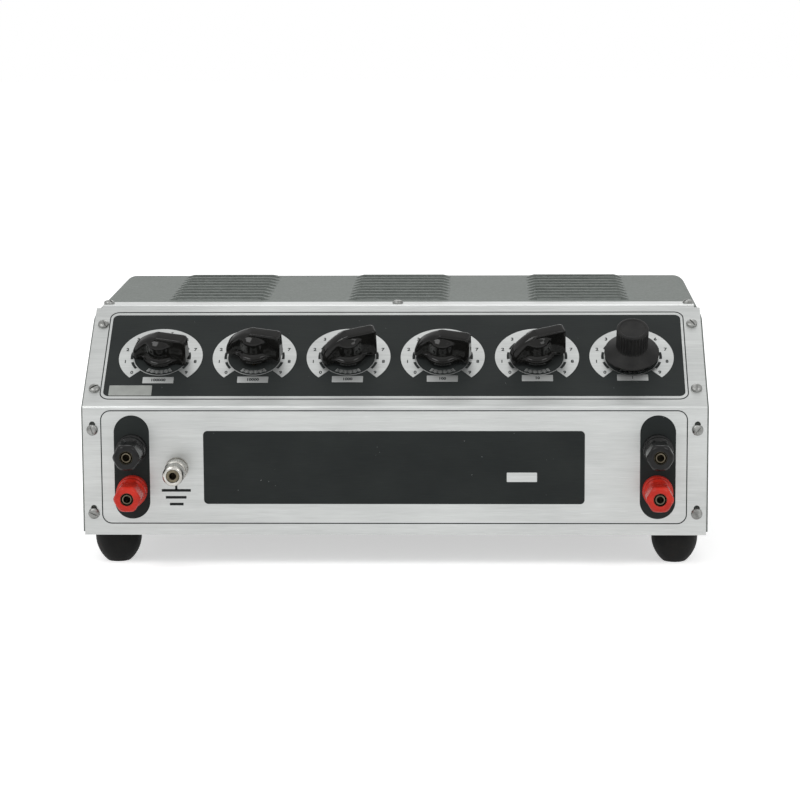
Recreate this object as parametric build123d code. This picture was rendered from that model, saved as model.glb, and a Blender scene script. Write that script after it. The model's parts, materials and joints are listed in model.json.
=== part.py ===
"""Six-decade power resistance box: sloping-front sheet-metal cabinet, rotary switches and binding posts.

Frame: millimetres, +X to the right, +Y to the back, +Z up. The origin lies on the table under the
middle of the bounding box. Each piece of the real assembly is written to its own STEP file.
"""
from build123d import *
from math import asin, atan2, cos, hypot, pi, sin
import os

# Cabinet size
WIDTH = 349.0
DEPTH = 209.5
FACE_HEIGHT = 72.5
SLOPE_RUN = 71.7
SLOPE_RISE = 47.4
STRIP_DEPTH = 14.0
PANEL_THICKNESS = 2.0
SHEET = 1.2
BOTTOM_THICKNESS = 1.5
PANEL_SIDE_MARGIN = 1.0
STRIP_SIDE_MARGIN = 4.2
CORNER_RADIUS = 8.0
BEND_RADIUS = 1.0
FLANGE = 12.0
FIT_GAP = 0.3

# Louvres in the cabinet top
LOUVRE_GROUPS = 3
LOUVRE_SIDE_INSET = 40.0
LOUVRE_PITCH = 12.7
LOUVRE_LENGTH = 59.0
LOUVRE_DEPTH = 8.6
LOUVRE_RISE = 1.9
LOUVRE_LIP = 2.2
LOUVRE_TAPER = 5.0
LOUVRE_FRONT_SETBACK = 13.0
LOUVRE_REAR_SETBACK = 7.5

# Rubber feet
FOOT_HEIGHT = 18.5
FOOT_RADIUS = 13.0
FOOT_TIP_RADIUS = 6.5
FOOT_RIM = 4.0
FOOT_RECESS_RADIUS = 4.4
FOOT_RECESS_DEPTH = 9.0
FOOT_SIDE_INSET = 17.3
FOOT_END_INSET = 21.0

# Machine screws and nuts
SCREW_RADIUS = 1.6
SCREW_HEAD_RADIUS = 3.1
SCREW_HEAD_HEIGHT = 2.0
SCREW_SLOT_WIDTH = 0.9
SCREW_CLEARANCE = 0.1
NUT_ACROSS_FLATS = 6.35
NUT_HEIGHT = 2.6
SCREW_SIDE_INSET = 6.3
FACE_SCREW_BASE_INSET = 12.2
FACE_SCREW_BEND_INSET = 12.9
FACE_SLOT_ABOVE = 4.8
SLOPE_SCREW_HEIGHTS = (15.0, 69.2)
STRIP_SCREW_SETBACK = 6.0
STRIP_SCREW_SIDE_INSET = 7.0
BASE_SCREW_SIDE_INSET = 7.0
BASE_SCREW_END_INSET = 48.0
REAR_SCREW_EDGE_INSET = 7.0
REAR_SCREW_SIDE_INSET = 26.0

# Rotary switches under the sloping face
SWITCH_COUNT = 6
SWITCH_SIDE_INSET = 41.5
DIAL_HEIGHT = 41.4
POSITIONS = 10
INDEX_STEP = 29.0
REST_POSITIONS = (8, 8, 7, 8, 7, 0)
SHAFT_RADIUS = 3.175
RUNNING_GAP = 0.05
FIXED_GAP = 0.03
BUSHING_RADIUS = 4.75
BUSHING_LENGTH = 6.0
BUSHING_HOLE_GAP = 0.15
SWITCH_NUT_ACROSS_FLATS = 12.7
SWITCH_NUT_HEIGHT = 2.4
FRAME_RADIUS = 17.0
FRAME_THICKNESS = 2.5
PILLAR_ORBIT = 13.5
PILLAR_RADIUS = 2.0
PILLAR_LENGTH = 17.5
RIVET_RADIUS = 1.8
RIVET_HEIGHT = 0.6
RIVET_SHANK_RADIUS = 1.2
STATOR_RADIUS = 21.0
STATOR_THICKNESS = 3.0
STATOR_HOLE_RADIUS = 5.0
CONTACT_WIDTH = 2.4
CONTACT_THICKNESS = 0.8
CONTACT_INNER = 15.6
CONTACT_OUTER = 25.0
COLLECTOR_INNER = 6.2
COLLECTOR_OUTER = 9.0
WIPER_GAP = 0.1
WIPER_HEIGHT = 0.6
WIPER_RADIUS = 1.2
ROTOR_HUB_RADIUS = 5.5
ROTOR_THICKNESS = 4.5
ROTOR_ARM_WIDTH = 5.0
ROTOR_ARM_THICKNESS = 2.0
SHAFT_TAIL = 1.5
STAR_RADIUS = 9.0
STAR_NOTCH_DEPTH = 1.1
STAR_THICKNESS = 2.0
STAR_DROP = 1.5
SPRING_GAP = 0.3
SPRING_THICKNESS = 0.5
SPRING_WIDTH = 3.0
ROLLER_RADIUS = 1.3

# Pointer knobs
KNOB_LIFT = 0.8
POINTER_BASE_RADIUS = 12.2
POINTER_RIM = 2.4
POINTER_BOSS_RADIUS = 8.0
POINTER_BOSS_HEIGHT = 12.6
POINTER_DOME_HEIGHT = 16.4
POINTER_REACH = 17.0
POINTER_TAIL = 6.0
POINTER_BASE_WIDTH = 10.4
POINTER_TOP_WIDTH = 6.6
POINTER_TOP_HEIGHT = 14.6
POINTER_TOP_INSET = 0.6
POINTER_CORNER = 1.0
POINTER_TIP_CHAMFER = 0.7
KNOB_RECESS_RADIUS = 7.9
KNOB_RECESS_DEPTH = 7.2
SHAFT_IN_KNOB = 5.2

# Fluted knob
FLUTED_SKIRT_RADIUS = 15.85
FLUTED_SKIRT_RIM = 1.0
FLUTED_CAP_RADIUS = 9.5
FLUTED_SHOULDER_HEIGHT = 7.4
FLUTED_HEIGHT = 22.4
FLUTE_COUNT = 30
FLUTE_DEPTH = 0.55
FLUTED_TOP_CHAMFER = 0.7

# Binding posts
POST_SIDE_INSET = 28.2
POST_HEIGHTS = (25.5, 48.8)
GROUND_POST_INSET = 53.3
GROUND_POST_HEIGHT = 37.9
STUD_RADIUS = 3.0
STUD_INNER_LENGTH = 15.0
BARREL_RADIUS = 3.5
COLLAR_RADIUS = 6.0
COLLAR_HEIGHT = 1.2
JACK_RADIUS = 2.05
JACK_DEPTH = 17.5
GROUND_JACK_DEPTH = 16.0
CROSS_HOLE_RADIUS = 0.9
CROSS_HOLE_HEIGHT = 1.4
POST_REACH = 28.0
BARREL_RECESS = 1.0
POST_BASE_RADIUS = 8.5
POST_BASE_HEIGHT = 5.0
SHOULDER_RADIUS = 4.6
POST_HOLE_GAP = 0.1
WASHER_RADIUS = 7.0
WASHER_THICKNESS = 2.0
LUG_THICKNESS = 0.8
LUG_RADIUS = 5.0
LUG_TAIL = 14.0
LUG_TAIL_WIDTH = 4.0
POST_NUT_ACROSS_FLATS = 9.5
POST_NUT_HEIGHT = 3.2
CAP_FLANGE_RADIUS = 8.2
CAP_FLANGE_HEIGHT = 4.5
CAP_ACROSS_FLATS = 14.0
CAP_NOSE_CHAMFER = 1.6
CAP_BORE_GAP = 0.15
CAP_SEAT_GAP = 0.3
INSERT_RADIUS = 5.0
INSERT_LENGTH = 9.0
INSERT_CLEARANCE = 0.03
GROUND_BASE_RADIUS = 6.5
GROUND_BASE_HEIGHT = 3.0
GROUND_CAP_RADIUS = 6.3
GROUND_CAP_FLUTES = 20
GROUND_CAP_FLUTE_DEPTH = 0.4
GROUND_POST_REACH = 24.5

# Resistor racks
RESISTORS_PER_DECADE = 9
RESISTOR_COLUMNS = 3
RESISTOR_RADIUS = 4.5
RESISTOR_BODY_LENGTH = 38.0
RESISTOR_LEAD_RADIUS = 0.8
RESISTOR_EDGE_INSET = 22.0
RESISTOR_ROW_SPACING = 27.0
RESISTOR_FIRST_HEIGHT = 26.0
RESISTOR_STAGGER = 7.0
BOARD_THICKNESS = 1.6
BOARD_SIDE_INSET = 14.9
BOARD_FRONT_SETBACK = 89.1
BOARD_HEIGHT = 90.0
BOARD_REAR_GAP = 10.0
TAB_WIDTH = 8.0
TAB_DEPTH = 4.0
RAIL_WIDTH = 14.0
RAIL_HEIGHT = 6.0
RAIL_FOOT = 8.0
TAB_GAP = 0.15
RAIL_INSET = 30.0
RAIL_SIDE_INSET = 14.0

# Bottom vents
VENT_GROUPS = 3
VENTS_PER_GROUP = 5
VENT_LENGTH = 60.0
VENT_WIDTH = 4.0
VENT_PITCH = 11.0
VENT_SETBACK = 54.0

# Wiring
WIRE_RADIUS = 1.1
BUS_WIRE_SETBACK = 14.0
GROUND_WIRE_SETBACK = 22.0
WIRE_BEND = 6.0
WIRE_END_INSET = 2.0

# Worked-out positions
HEIGHT = FACE_HEIGHT + SLOPE_RISE
SLOPE_ANGLE = atan2(SLOPE_RISE, SLOPE_RUN)
SLOPE_SIN = sin(SLOPE_ANGLE)
SLOPE_COS = cos(SLOPE_ANGLE)
FRONT_Y = (POST_REACH - DEPTH - SCREW_HEAD_HEIGHT) / 2
BACK_Y = FRONT_Y + DEPTH
BASE_Z = FOOT_HEIGHT
TOP_Z = BASE_Z + HEIGHT
HALF_WIDTH = WIDTH / 2
INNER_Y = FRONT_Y + PANEL_THICKNESS
FLANGE_EDGE_X = HALF_WIDTH - FLANGE
FLANGE_BACK_Y = BACK_Y - SHEET
STRIP_REAR_Y = FRONT_Y + SLOPE_RUN + STRIP_DEPTH
STRIP_HALF_WIDTH = HALF_WIDTH - STRIP_SIDE_MARGIN
LOUVRE_FIRST_Y = STRIP_REAR_Y + LOUVRE_FRONT_SETBACK
LOUVRES_PER_GROUP = 1 + int((FLANGE_BACK_Y - LOUVRE_REAR_SETBACK - LOUVRE_FIRST_Y) / LOUVRE_PITCH)
LOUVRE_GROUP_SPACING = (WIDTH - 2 * LOUVRE_SIDE_INSET - LOUVRE_LENGTH) / (LOUVRE_GROUPS - 1)
FLOOR_Z = BASE_Z + BOTTOM_THICKNESS
STATOR_Z = -PANEL_THICKNESS - FRAME_THICKNESS - PILLAR_LENGTH
CONTACT_Z = STATOR_Z - STATOR_THICKNESS
ROTOR_Z = CONTACT_Z - CONTACT_THICKNESS - WIPER_GAP - WIPER_HEIGHT
SHAFT_END_Z = ROTOR_Z - ROTOR_THICKNESS - SHAFT_TAIL
STAR_Z = -PANEL_THICKNESS - FRAME_THICKNESS - STAR_DROP
RAIL_TOP_Z = FLOOR_Z + RAIL_HEIGHT
BOARD_REAR_Y = FLANGE_BACK_Y - SHEET - BOARD_REAR_GAP
BOARD_FRONT_Y = FRONT_Y + BOARD_FRONT_SETBACK
BOARD_PITCH = (WIDTH - 2 * BOARD_SIDE_INSET) / SWITCH_COUNT
RAIL_YS = (BOARD_FRONT_Y + RAIL_INSET, BOARD_REAR_Y - RAIL_INSET)
FOOT_PLACES = [
    (side * (HALF_WIDTH - FOOT_SIDE_INSET), y)
    for y in (FRONT_Y + FOOT_END_INSET, BACK_Y - FOOT_END_INSET)
    for side in (-1, 1)
]
SWITCH_PITCH = (WIDTH - 2 * SWITCH_SIDE_INSET) / (SWITCH_COUNT - 1)
SWITCH_XS = [(index - (SWITCH_COUNT - 1) / 2) * SWITCH_PITCH for index in range(SWITCH_COUNT)]
POST_SIDE_OFFSET = HALF_WIDTH - POST_SIDE_INSET
SIGNAL_POSTS = [(side * POST_SIDE_OFFSET, BASE_Z + height) for side in (-1, 1) for height in POST_HEIGHTS]
GROUND_POST = (GROUND_POST_INSET - HALF_WIDTH, BASE_Z + GROUND_POST_HEIGHT)
POST_NAMES = ("red_left", "black_left", "red_right", "black_right")


def slope_plane(x, up_slope=DIAL_HEIGHT):
    """Plane on the sloping face: local X to the right, local Y up the slope, local Z outward."""
    origin = (x, FRONT_Y + up_slope * SLOPE_COS, BASE_Z + FACE_HEIGHT + up_slope * SLOPE_SIN)
    return Plane(origin=origin, x_dir=(1, 0, 0), z_dir=(0, -SLOPE_SIN, SLOPE_COS))


def face_plane(x, z):
    """Plane on the upright face: local X to the right, local Y up, local Z towards the user."""
    return Plane(origin=(x, FRONT_Y, z), x_dir=(1, 0, 0), z_dir=(0, -1, 0))


def rear_plane(x, z):
    """Plane on the back: local Z points away from the cabinet."""
    return Plane(origin=(x, BACK_Y, z), x_dir=(-1, 0, 0), z_dir=(0, 1, 0))


def strip_plane(x):
    """Plane on the panel's top strip at a screw."""
    return Plane(origin=(x, STRIP_REAR_Y - STRIP_SCREW_SETBACK, TOP_Z))


def base_plane(x, y):
    """Plane under the bottom plate: local Z points down."""
    return Plane(origin=(x, y, BASE_Z), x_dir=(1, 0, 0), z_dir=(0, 0, -1))


def cylinder(radius, low, high):
    """Cylinder on the local Z axis between two heights."""
    return Pos(0, 0, low) * Cylinder(radius, high - low, align=(Align.CENTER, Align.CENTER, Align.MIN))


def block(low, high):
    """Box between two corners."""
    size = [b - a for a, b in zip(low, high)]
    return Pos(*low) * Box(*size, align=(Align.MIN, Align.MIN, Align.MIN))


def hexagon(across_flats, low, high):
    """Hexagonal prism on the local Z axis."""
    outline = Rot(0, 0, 30) * RegularPolygon(radius=across_flats / 2, side_count=6, major_radius=False)
    return Pos(0, 0, low) * extrude(outline, amount=high - low)


def turned(points):
    """Solid turned about the local Z axis from (radius, height) corners."""
    profile = Plane.XZ * make_face(Polyline(*points, close=True))
    return revolve(profile, Axis.Z)


def inward(points, distance):
    """Corner points of an open line in YZ, moved to its right-hand side with mitred corners."""
    moved = []
    for index, (y, z) in enumerate(points):
        directions = []
        if index > 0:
            directions.append(unit(points[index - 1], points[index]))
        if index < len(points) - 1:
            directions.append(unit(points[index], points[index + 1]))
        normals = [(dz, -dy) for dy, dz in directions]
        total = (sum(n[0] for n in normals), sum(n[1] for n in normals))
        scale = distance / (total[0] * normals[0][0] + total[1] * normals[0][1])
        moved.append((y + total[0] * scale, z + total[1] * scale))
    return moved


def unit(start, end):
    """Unit direction between two YZ points."""
    length = hypot(end[0] - start[0], end[1] - start[1])
    return ((end[0] - start[0]) / length, (end[1] - start[1]) / length)


def bent_sheet(points, thickness, half_width):
    """Sheet bent along X, with its outer face on the given line and rounded bends."""
    outer = FilletPolyline(*points, radius=BEND_RADIUS + thickness)
    inner = FilletPolyline(*inward(points, thickness), radius=BEND_RADIUS)
    edges = [outer, Line(outer @ 1, inner @ 1), inner, Line(inner @ 0, outer @ 0)]
    return extrude(Plane.YZ * make_face(edges), amount=half_width, both=True)


def panel_line():
    """Outer line of the front panel in YZ, from the bottom edge to the rear of the top strip."""
    return [
        (FRONT_Y, BASE_Z),
        (FRONT_Y, BASE_Z + FACE_HEIGHT),
        (FRONT_Y + SLOPE_RUN, TOP_Z),
        (STRIP_REAR_Y, TOP_Z),
    ]


def screw(grip):
    """Slotted round-head machine screw: head on local Z up, shank down through the grip."""
    head = turned([
        (0, 0),
        (SCREW_HEAD_RADIUS, 0),
        (SCREW_HEAD_RADIUS, 0.35 * SCREW_HEAD_HEIGHT),
        (0.72 * SCREW_HEAD_RADIUS, 0.85 * SCREW_HEAD_HEIGHT),
        (0.3 * SCREW_HEAD_RADIUS, SCREW_HEAD_HEIGHT),
        (0, SCREW_HEAD_HEIGHT),
    ])
    slot = Pos(0, 0, SCREW_HEAD_HEIGHT) * Box(3 * SCREW_HEAD_RADIUS, SCREW_SLOT_WIDTH, SCREW_HEAD_HEIGHT)
    return head + cylinder(SCREW_RADIUS, -grip - NUT_HEIGHT, 0) - slot


def screw_hole(depth, radius=SCREW_RADIUS + SCREW_CLEARANCE):
    """Cutter for a clearance hole on the local Z axis."""
    return cylinder(radius, -depth, depth)


def screw_nut(seat):
    """Hexagonal nut under a sheet stack of the given thickness."""
    body = hexagon(NUT_ACROSS_FLATS, -seat - NUT_HEIGHT, -seat)
    return body - cylinder(SCREW_RADIUS + SCREW_CLEARANCE, -seat - NUT_HEIGHT, -seat)


def face_screw_places():
    """Planes of the four screws on the upright face."""
    x = HALF_WIDTH - SCREW_SIDE_INSET
    heights = (FACE_SCREW_BASE_INSET, FACE_HEIGHT - FACE_SCREW_BEND_INSET)
    return [face_plane(side * x, BASE_Z + height) for side in (-1, 1) for height in heights]


def slope_screw_places():
    """Planes of the four screws on the sloping face."""
    x = HALF_WIDTH - SCREW_SIDE_INSET
    return [slope_plane(side * x, height) for side in (-1, 1) for height in SLOPE_SCREW_HEIGHTS]


def strip_screw_places():
    """Planes of the three screws on the top strip."""
    x = HALF_WIDTH - STRIP_SCREW_SIDE_INSET
    return [strip_plane(x * position) for position in (-1, 0, 1)]


def panel_screw_places():
    """Planes of every screw that holds the front panel."""
    return face_screw_places() + slope_screw_places() + strip_screw_places()


def rear_screw_places():
    """Planes of the back panel's screws, three along the top and three along the bottom."""
    x = HALF_WIDTH - REAR_SCREW_SIDE_INSET
    heights = (BASE_Z + REAR_SCREW_EDGE_INSET, TOP_Z - REAR_SCREW_EDGE_INSET)
    return [rear_plane(position * x, z) for z in heights for position in (-1, 0, 1)]


def base_screw_places():
    """Planes of the bottom plate's screws, three along each side."""
    x = HALF_WIDTH - BASE_SCREW_SIDE_INSET
    ends = (FRONT_Y + BASE_SCREW_END_INSET, BACK_Y - BASE_SCREW_END_INSET)
    ys = (ends[0], sum(ends) / 2, ends[1])
    return [base_plane(side * x, y) for side in (-1, 1) for y in ys]


def front_panel():
    """Aluminium front panel: upright face, sloping dial face and top strip bent from one sheet."""
    panel = bent_sheet(panel_line(), PANEL_THICKNESS, HALF_WIDTH - PANEL_SIDE_MARGIN)
    notch_front = FRONT_Y + SLOPE_RUN - PANEL_THICKNESS
    cutters = []
    for side in (-1, 1):
        xs = sorted((side * STRIP_HALF_WIDTH, side * WIDTH))
        low = (xs[0], notch_front, TOP_Z - 2 * PANEL_THICKNESS)
        cutters.append(block(low, (xs[1], STRIP_REAR_Y + 1, TOP_Z + 1)))
    slot_height = FACE_SLOT_ABOVE + SCREW_RADIUS + SCREW_CLEARANCE
    slot_width = 2 * (SCREW_RADIUS + SCREW_CLEARANCE)
    slot_shift = (FACE_SLOT_ABOVE - SCREW_RADIUS - SCREW_CLEARANCE) / 2
    slot = Rot(0, 0, 90) * SlotOverall(slot_height, slot_width)
    slot = extrude(slot, amount=2 * PANEL_THICKNESS, both=True)
    cutters += [place * Pos(0, slot_shift, 0) * slot for place in face_screw_places()]
    plain = slope_screw_places() + strip_screw_places()
    cutters += [place * screw_hole(2 * PANEL_THICKNESS) for place in plain]
    hole = BUSHING_RADIUS + BUSHING_HOLE_GAP
    cutters += [slope_plane(x) * screw_hole(2 * PANEL_THICKNESS, hole) for x in SWITCH_XS]
    hole = SHOULDER_RADIUS + POST_HOLE_GAP
    cutters += [face_plane(*post) * screw_hole(2 * PANEL_THICKNESS, hole) for post in SIGNAL_POSTS]
    hole = STUD_RADIUS + POST_HOLE_GAP
    cutters.append(face_plane(*GROUND_POST) * screw_hole(2 * PANEL_THICKNESS, hole))
    return panel - cutters


def louvre_places():
    """Centres of every louvre in the cabinet top."""
    for group in range(LOUVRE_GROUPS):
        x = (group - (LOUVRE_GROUPS - 1) / 2) * LOUVRE_GROUP_SPACING
        for index in range(LOUVRES_PER_GROUP):
            yield Pos(x, LOUVRE_FIRST_Y + index * LOUVRE_PITCH, 0)


def louvre_body(grow, low, high):
    """Hood of one louvre: a hipped loft from a wide foot to a short crest above its open lip."""
    length = LOUVRE_LENGTH - 2 * grow
    depth = LOUVRE_DEPTH - grow
    foot = Pos(0, -grow / 2, low) * Rectangle(length, depth)
    crest_length = length - 2 * LOUVRE_TAPER
    crest_y = (LOUVRE_LIP - LOUVRE_DEPTH) / 2
    crest = Pos(0, crest_y, high) * Rectangle(crest_length, LOUVRE_LIP)
    return loft([foot, crest])


def cabinet_cover():
    """Steel cover: both sides and the top in one piece, turned flanges all round and louvred top."""
    section = Rectangle(WIDTH, HEIGHT - BOTTOM_THICKNESS, align=(Align.CENTER, Align.MAX))
    section = fillet(section.vertices().sort_by(Axis.Y)[-2:], CORNER_RADIUS)
    inside = Rectangle(WIDTH - 2 * SHEET, HEIGHT, align=(Align.CENTER, Align.MAX))
    inside = fillet(inside.vertices().sort_by(Axis.Y)[-2:], CORNER_RADIUS - SHEET)
    ring = section - Pos(0, -SHEET) * inside
    wrap_plane = Plane(origin=(0, FLANGE_BACK_Y, TOP_Z), x_dir=(1, 0, 0), z_dir=(0, -1, 0))
    wrap = extrude(wrap_plane * ring, amount=FLANGE_BACK_Y - FRONT_Y)

    face_line = inward(panel_line(), PANEL_THICKNESS)
    beyond = (face_line[1][0] + 2 * SLOPE_RUN, face_line[1][1] + 2 * SLOPE_RISE)
    bend = FilletPolyline((face_line[0][0], BASE_Z - 1), face_line[1], beyond, radius=BEND_RADIUS)
    corners = Polyline(bend @ 1, (FRONT_Y - 1, beyond[1]), (FRONT_Y - 1, BASE_Z - 1), bend @ 0)
    wrap -= extrude(Plane.YZ * make_face([bend, corners]), amount=WIDTH, both=True)
    strip_bed = STRIP_HALF_WIDTH + FIT_GAP
    ledge_z = TOP_Z - PANEL_THICKNESS
    ledge_y = STRIP_REAR_Y + FIT_GAP
    wrap -= block((-strip_bed, FRONT_Y, ledge_z), (strip_bed, ledge_y, TOP_Z + 1))

    flange_line = face_line[:3] + [(ledge_y + SHEET, ledge_z)]
    flange_line[0] = (face_line[0][0], FLOOR_Z)
    flange = bent_sheet(flange_line, SHEET, HALF_WIDTH - SHEET / 2)
    flange &= extrude(wrap_plane * section, amount=FLANGE_BACK_Y - FRONT_Y)
    window_low = (-FLANGE_EDGE_X, FRONT_Y, BASE_Z - 1)
    window_high = (FLANGE_EDGE_X, ledge_y, ledge_z - FLANGE)
    flange -= block(window_low, window_high)
    riser = block((-strip_bed, ledge_y, ledge_z - SHEET), (strip_bed, ledge_y + SHEET, TOP_Z))
    pieces = [flange, riser]
    for side in (-1, 1):
        xs = sorted((side * FLANGE_EDGE_X, side * (HALF_WIDTH - SHEET / 2)))
        pieces.append(block((xs[0], INNER_Y, FLOOR_Z), (xs[1], FLANGE_BACK_Y, FLOOR_Z + SHEET)))
        low = (xs[0], FLANGE_BACK_Y - SHEET, FLOOR_Z)
        pieces.append(block(low, (xs[1], FLANGE_BACK_Y, TOP_Z - CORNER_RADIUS)))
    half = HALF_WIDTH - CORNER_RADIUS
    rear_low = (-half, FLANGE_BACK_Y - SHEET, TOP_Z - FLANGE)
    pieces.append(block(rear_low, (half, FLANGE_BACK_Y, TOP_Z - SHEET / 2)))
    hood = louvre_body(0, 0, LOUVRE_RISE)
    pieces += [place * Pos(0, 0, TOP_Z) * hood for place in louvre_places()]
    cover = wrap + pieces

    mouth = louvre_body(SHEET, -2 * SHEET, LOUVRE_RISE - SHEET * 0.7)
    mouth = mouth & block((-WIDTH, -WIDTH, -2 * SHEET), (WIDTH, WIDTH, LOUVRE_RISE))
    slit = block(
        (-LOUVRE_LENGTH / 2 + LOUVRE_TAPER, -LOUVRE_DEPTH / 2 - 1, 0.15),
        (LOUVRE_LENGTH / 2 - LOUVRE_TAPER, -LOUVRE_DEPTH / 2 + LOUVRE_LIP, LOUVRE_RISE * 0.5),
    )
    cutters = [place * Pos(0, 0, TOP_Z) * cut for place in louvre_places() for cut in (mouth, slit)]
    depth = 3 * PANEL_THICKNESS
    cutters += [place * screw_hole(depth) for place in panel_screw_places()]
    cutters += [place * screw_hole(depth) for place in rear_screw_places() + base_screw_places()]
    return cover - cutters


def back_panel():
    """Plain back panel that covers the cover's turned rear flanges."""
    half = HALF_WIDTH - PANEL_SIDE_MARGIN
    plate = block((-half, FLANGE_BACK_Y, BASE_Z), (half, BACK_Y, TOP_Z - PANEL_SIDE_MARGIN))
    top_edges = plate.edges().filter_by(Axis.Y).sort_by(Axis.Z)[-2:]
    plate = fillet(top_edges, CORNER_RADIUS - PANEL_SIDE_MARGIN)
    return plate - [place * screw_hole(2 * SHEET) for place in rear_screw_places()]


def bottom_plate():
    """Bottom plate with turned-up front and rear lips and three groups of vent slots."""
    half = HALF_WIDTH - PANEL_SIDE_MARGIN
    lip_half = FLANGE_EDGE_X - FIT_GAP
    plate = block((-half, INNER_Y, BASE_Z), (half, FLANGE_BACK_Y, FLOOR_Z))
    lip_top = BASE_Z + FLANGE
    front_lip = block((-lip_half, INNER_Y, BASE_Z), (lip_half, INNER_Y + BOTTOM_THICKNESS, lip_top))
    rear_low = (-lip_half, FLANGE_BACK_Y - BOTTOM_THICKNESS, BASE_Z)
    rear_lip = block(rear_low, (lip_half, FLANGE_BACK_Y, lip_top))
    slot = extrude(SlotOverall(VENT_LENGTH, VENT_WIDTH), amount=2 * BOTTOM_THICKNESS, both=True)
    cutters = []
    for group in range(VENT_GROUPS):
        x = (group - (VENT_GROUPS - 1) / 2) * LOUVRE_GROUP_SPACING
        for index in range(VENTS_PER_GROUP):
            y = FRONT_Y + VENT_SETBACK + (index - (VENTS_PER_GROUP - 1) / 2) * VENT_PITCH
            cutters.append(Pos(x, y, BASE_Z) * slot)
    cutters += [base_plane(*place) * screw_hole(2 * BOTTOM_THICKNESS) for place in FOOT_PLACES]
    cutters += [place * screw_hole(2 * BOTTOM_THICKNESS) for place in base_screw_places()]
    cutters += [place * screw_hole(2 * SHEET + BOTTOM_THICKNESS) for place in rear_screw_places()]
    return plate + [front_lip, rear_lip] - cutters


def rubber_foot():
    """Domed rubber bumper with a screw recess, its local Z pointing down to the table."""
    rim = (FOOT_RADIUS, FOOT_RIM)
    tip = (FOOT_TIP_RADIUS, FOOT_HEIGHT)
    bulge = (0.5 * (FOOT_RADIUS + FOOT_TIP_RADIUS) + 1.6, 0.5 * (FOOT_RIM + FOOT_HEIGHT) + 0.8)
    outline = [
        Line((0, 0), (FOOT_RADIUS, 0)),
        Line((FOOT_RADIUS, 0), rim),
        ThreePointArc(rim, bulge, tip),
        Line(tip, (0, FOOT_HEIGHT)),
        Line((0, FOOT_HEIGHT), (0, 0)),
    ]
    foot = revolve(Plane.XZ * make_face(outline), Axis.Z)
    recess = cylinder(FOOT_RECESS_RADIUS, FOOT_HEIGHT - FOOT_RECESS_DEPTH, FOOT_HEIGHT + 1)
    return foot - recess - screw_hole(2 * FOOT_HEIGHT)


def dial_angle(position):
    """Clockwise angle of a switch position from straight up the slope, in degrees."""
    return (position - (POSITIONS - 1) / 2) * INDEX_STEP


def switch_body():
    """Switch frame with its threaded bushing and the two riveted pillars that carry the stator."""
    frame_z = -PANEL_THICKNESS - FRAME_THICKNESS
    body = cylinder(FRAME_RADIUS, frame_z, -PANEL_THICKNESS)
    body += cylinder(BUSHING_RADIUS, frame_z, BUSHING_LENGTH)
    for side in (-1, 1):
        pillar = cylinder(PILLAR_RADIUS, STATOR_Z, frame_z)
        pillar += cylinder(RIVET_SHANK_RADIUS, CONTACT_Z, STATOR_Z)
        pillar += cylinder(RIVET_RADIUS, CONTACT_Z - RIVET_HEIGHT, CONTACT_Z)
        body += Pos(side * PILLAR_ORBIT, 0, 0) * pillar
    return body - cylinder(SHAFT_RADIUS + RUNNING_GAP, frame_z, BUSHING_LENGTH)


def switch_nut():
    """Hexagonal nut that clamps the bushing to the dial face."""
    nut = hexagon(SWITCH_NUT_ACROSS_FLATS, 0, SWITCH_NUT_HEIGHT)
    return nut - cylinder(BUSHING_RADIUS + FIXED_GAP, 0, SWITCH_NUT_HEIGHT)


def switch_stator():
    """Ceramic stator disc with clearance for the shaft and the two rivets."""
    disc = cylinder(STATOR_RADIUS, CONTACT_Z, STATOR_Z) - cylinder(STATOR_HOLE_RADIUS, CONTACT_Z, STATOR_Z)
    hole = cylinder(RIVET_SHANK_RADIUS + FIXED_GAP, CONTACT_Z, STATOR_Z)
    return disc - [Pos(side * PILLAR_ORBIT, 0, 0) * hole for side in (-1, 1)]


def stator_contacts():
    """Ten contact strips, one for each position, and the collector ring with its tail."""
    low = CONTACT_Z - CONTACT_THICKNESS
    half = CONTACT_WIDTH / 2
    strip = block((-half, CONTACT_INNER, low), (half, CONTACT_OUTER, CONTACT_Z))
    strips = [Rot(0, 0, -dial_angle(position)) * strip for position in range(POSITIONS)]
    ring = cylinder(COLLECTOR_OUTER, low, CONTACT_Z) - cylinder(COLLECTOR_INNER, low, CONTACT_Z)
    middle = (COLLECTOR_INNER + COLLECTOR_OUTER) / 2
    ring += block((-half, -CONTACT_OUTER, low), (half, -middle, CONTACT_Z))
    return strips + [ring]


def detent_spring():
    """Leaf spring across the two pillars with the detent roller at its middle."""
    roller_y = -(STAR_RADIUS + SPRING_GAP + ROLLER_RADIUS)
    middle_z = STAR_Z - STAR_THICKNESS / 2
    low = middle_z - SPRING_WIDTH / 2
    high = middle_z + SPRING_WIDTH / 2
    leaf_y = roller_y - 0.7 * ROLLER_RADIUS
    reach = PILLAR_ORBIT + SPRING_THICKNESS / 2
    leaf = block((-reach, leaf_y - SPRING_THICKNESS, low), (reach, leaf_y, high))
    roller = Pos(0, roller_y, 0) * cylinder(ROLLER_RADIUS, low, high)
    arms = [
        block((side * PILLAR_ORBIT - SPRING_THICKNESS / 2, leaf_y, low),
              (side * PILLAR_ORBIT + SPRING_THICKNESS / 2, -PILLAR_RADIUS, high))
        for side in (-1, 1)
    ]
    return leaf + [roller] + arms


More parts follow.
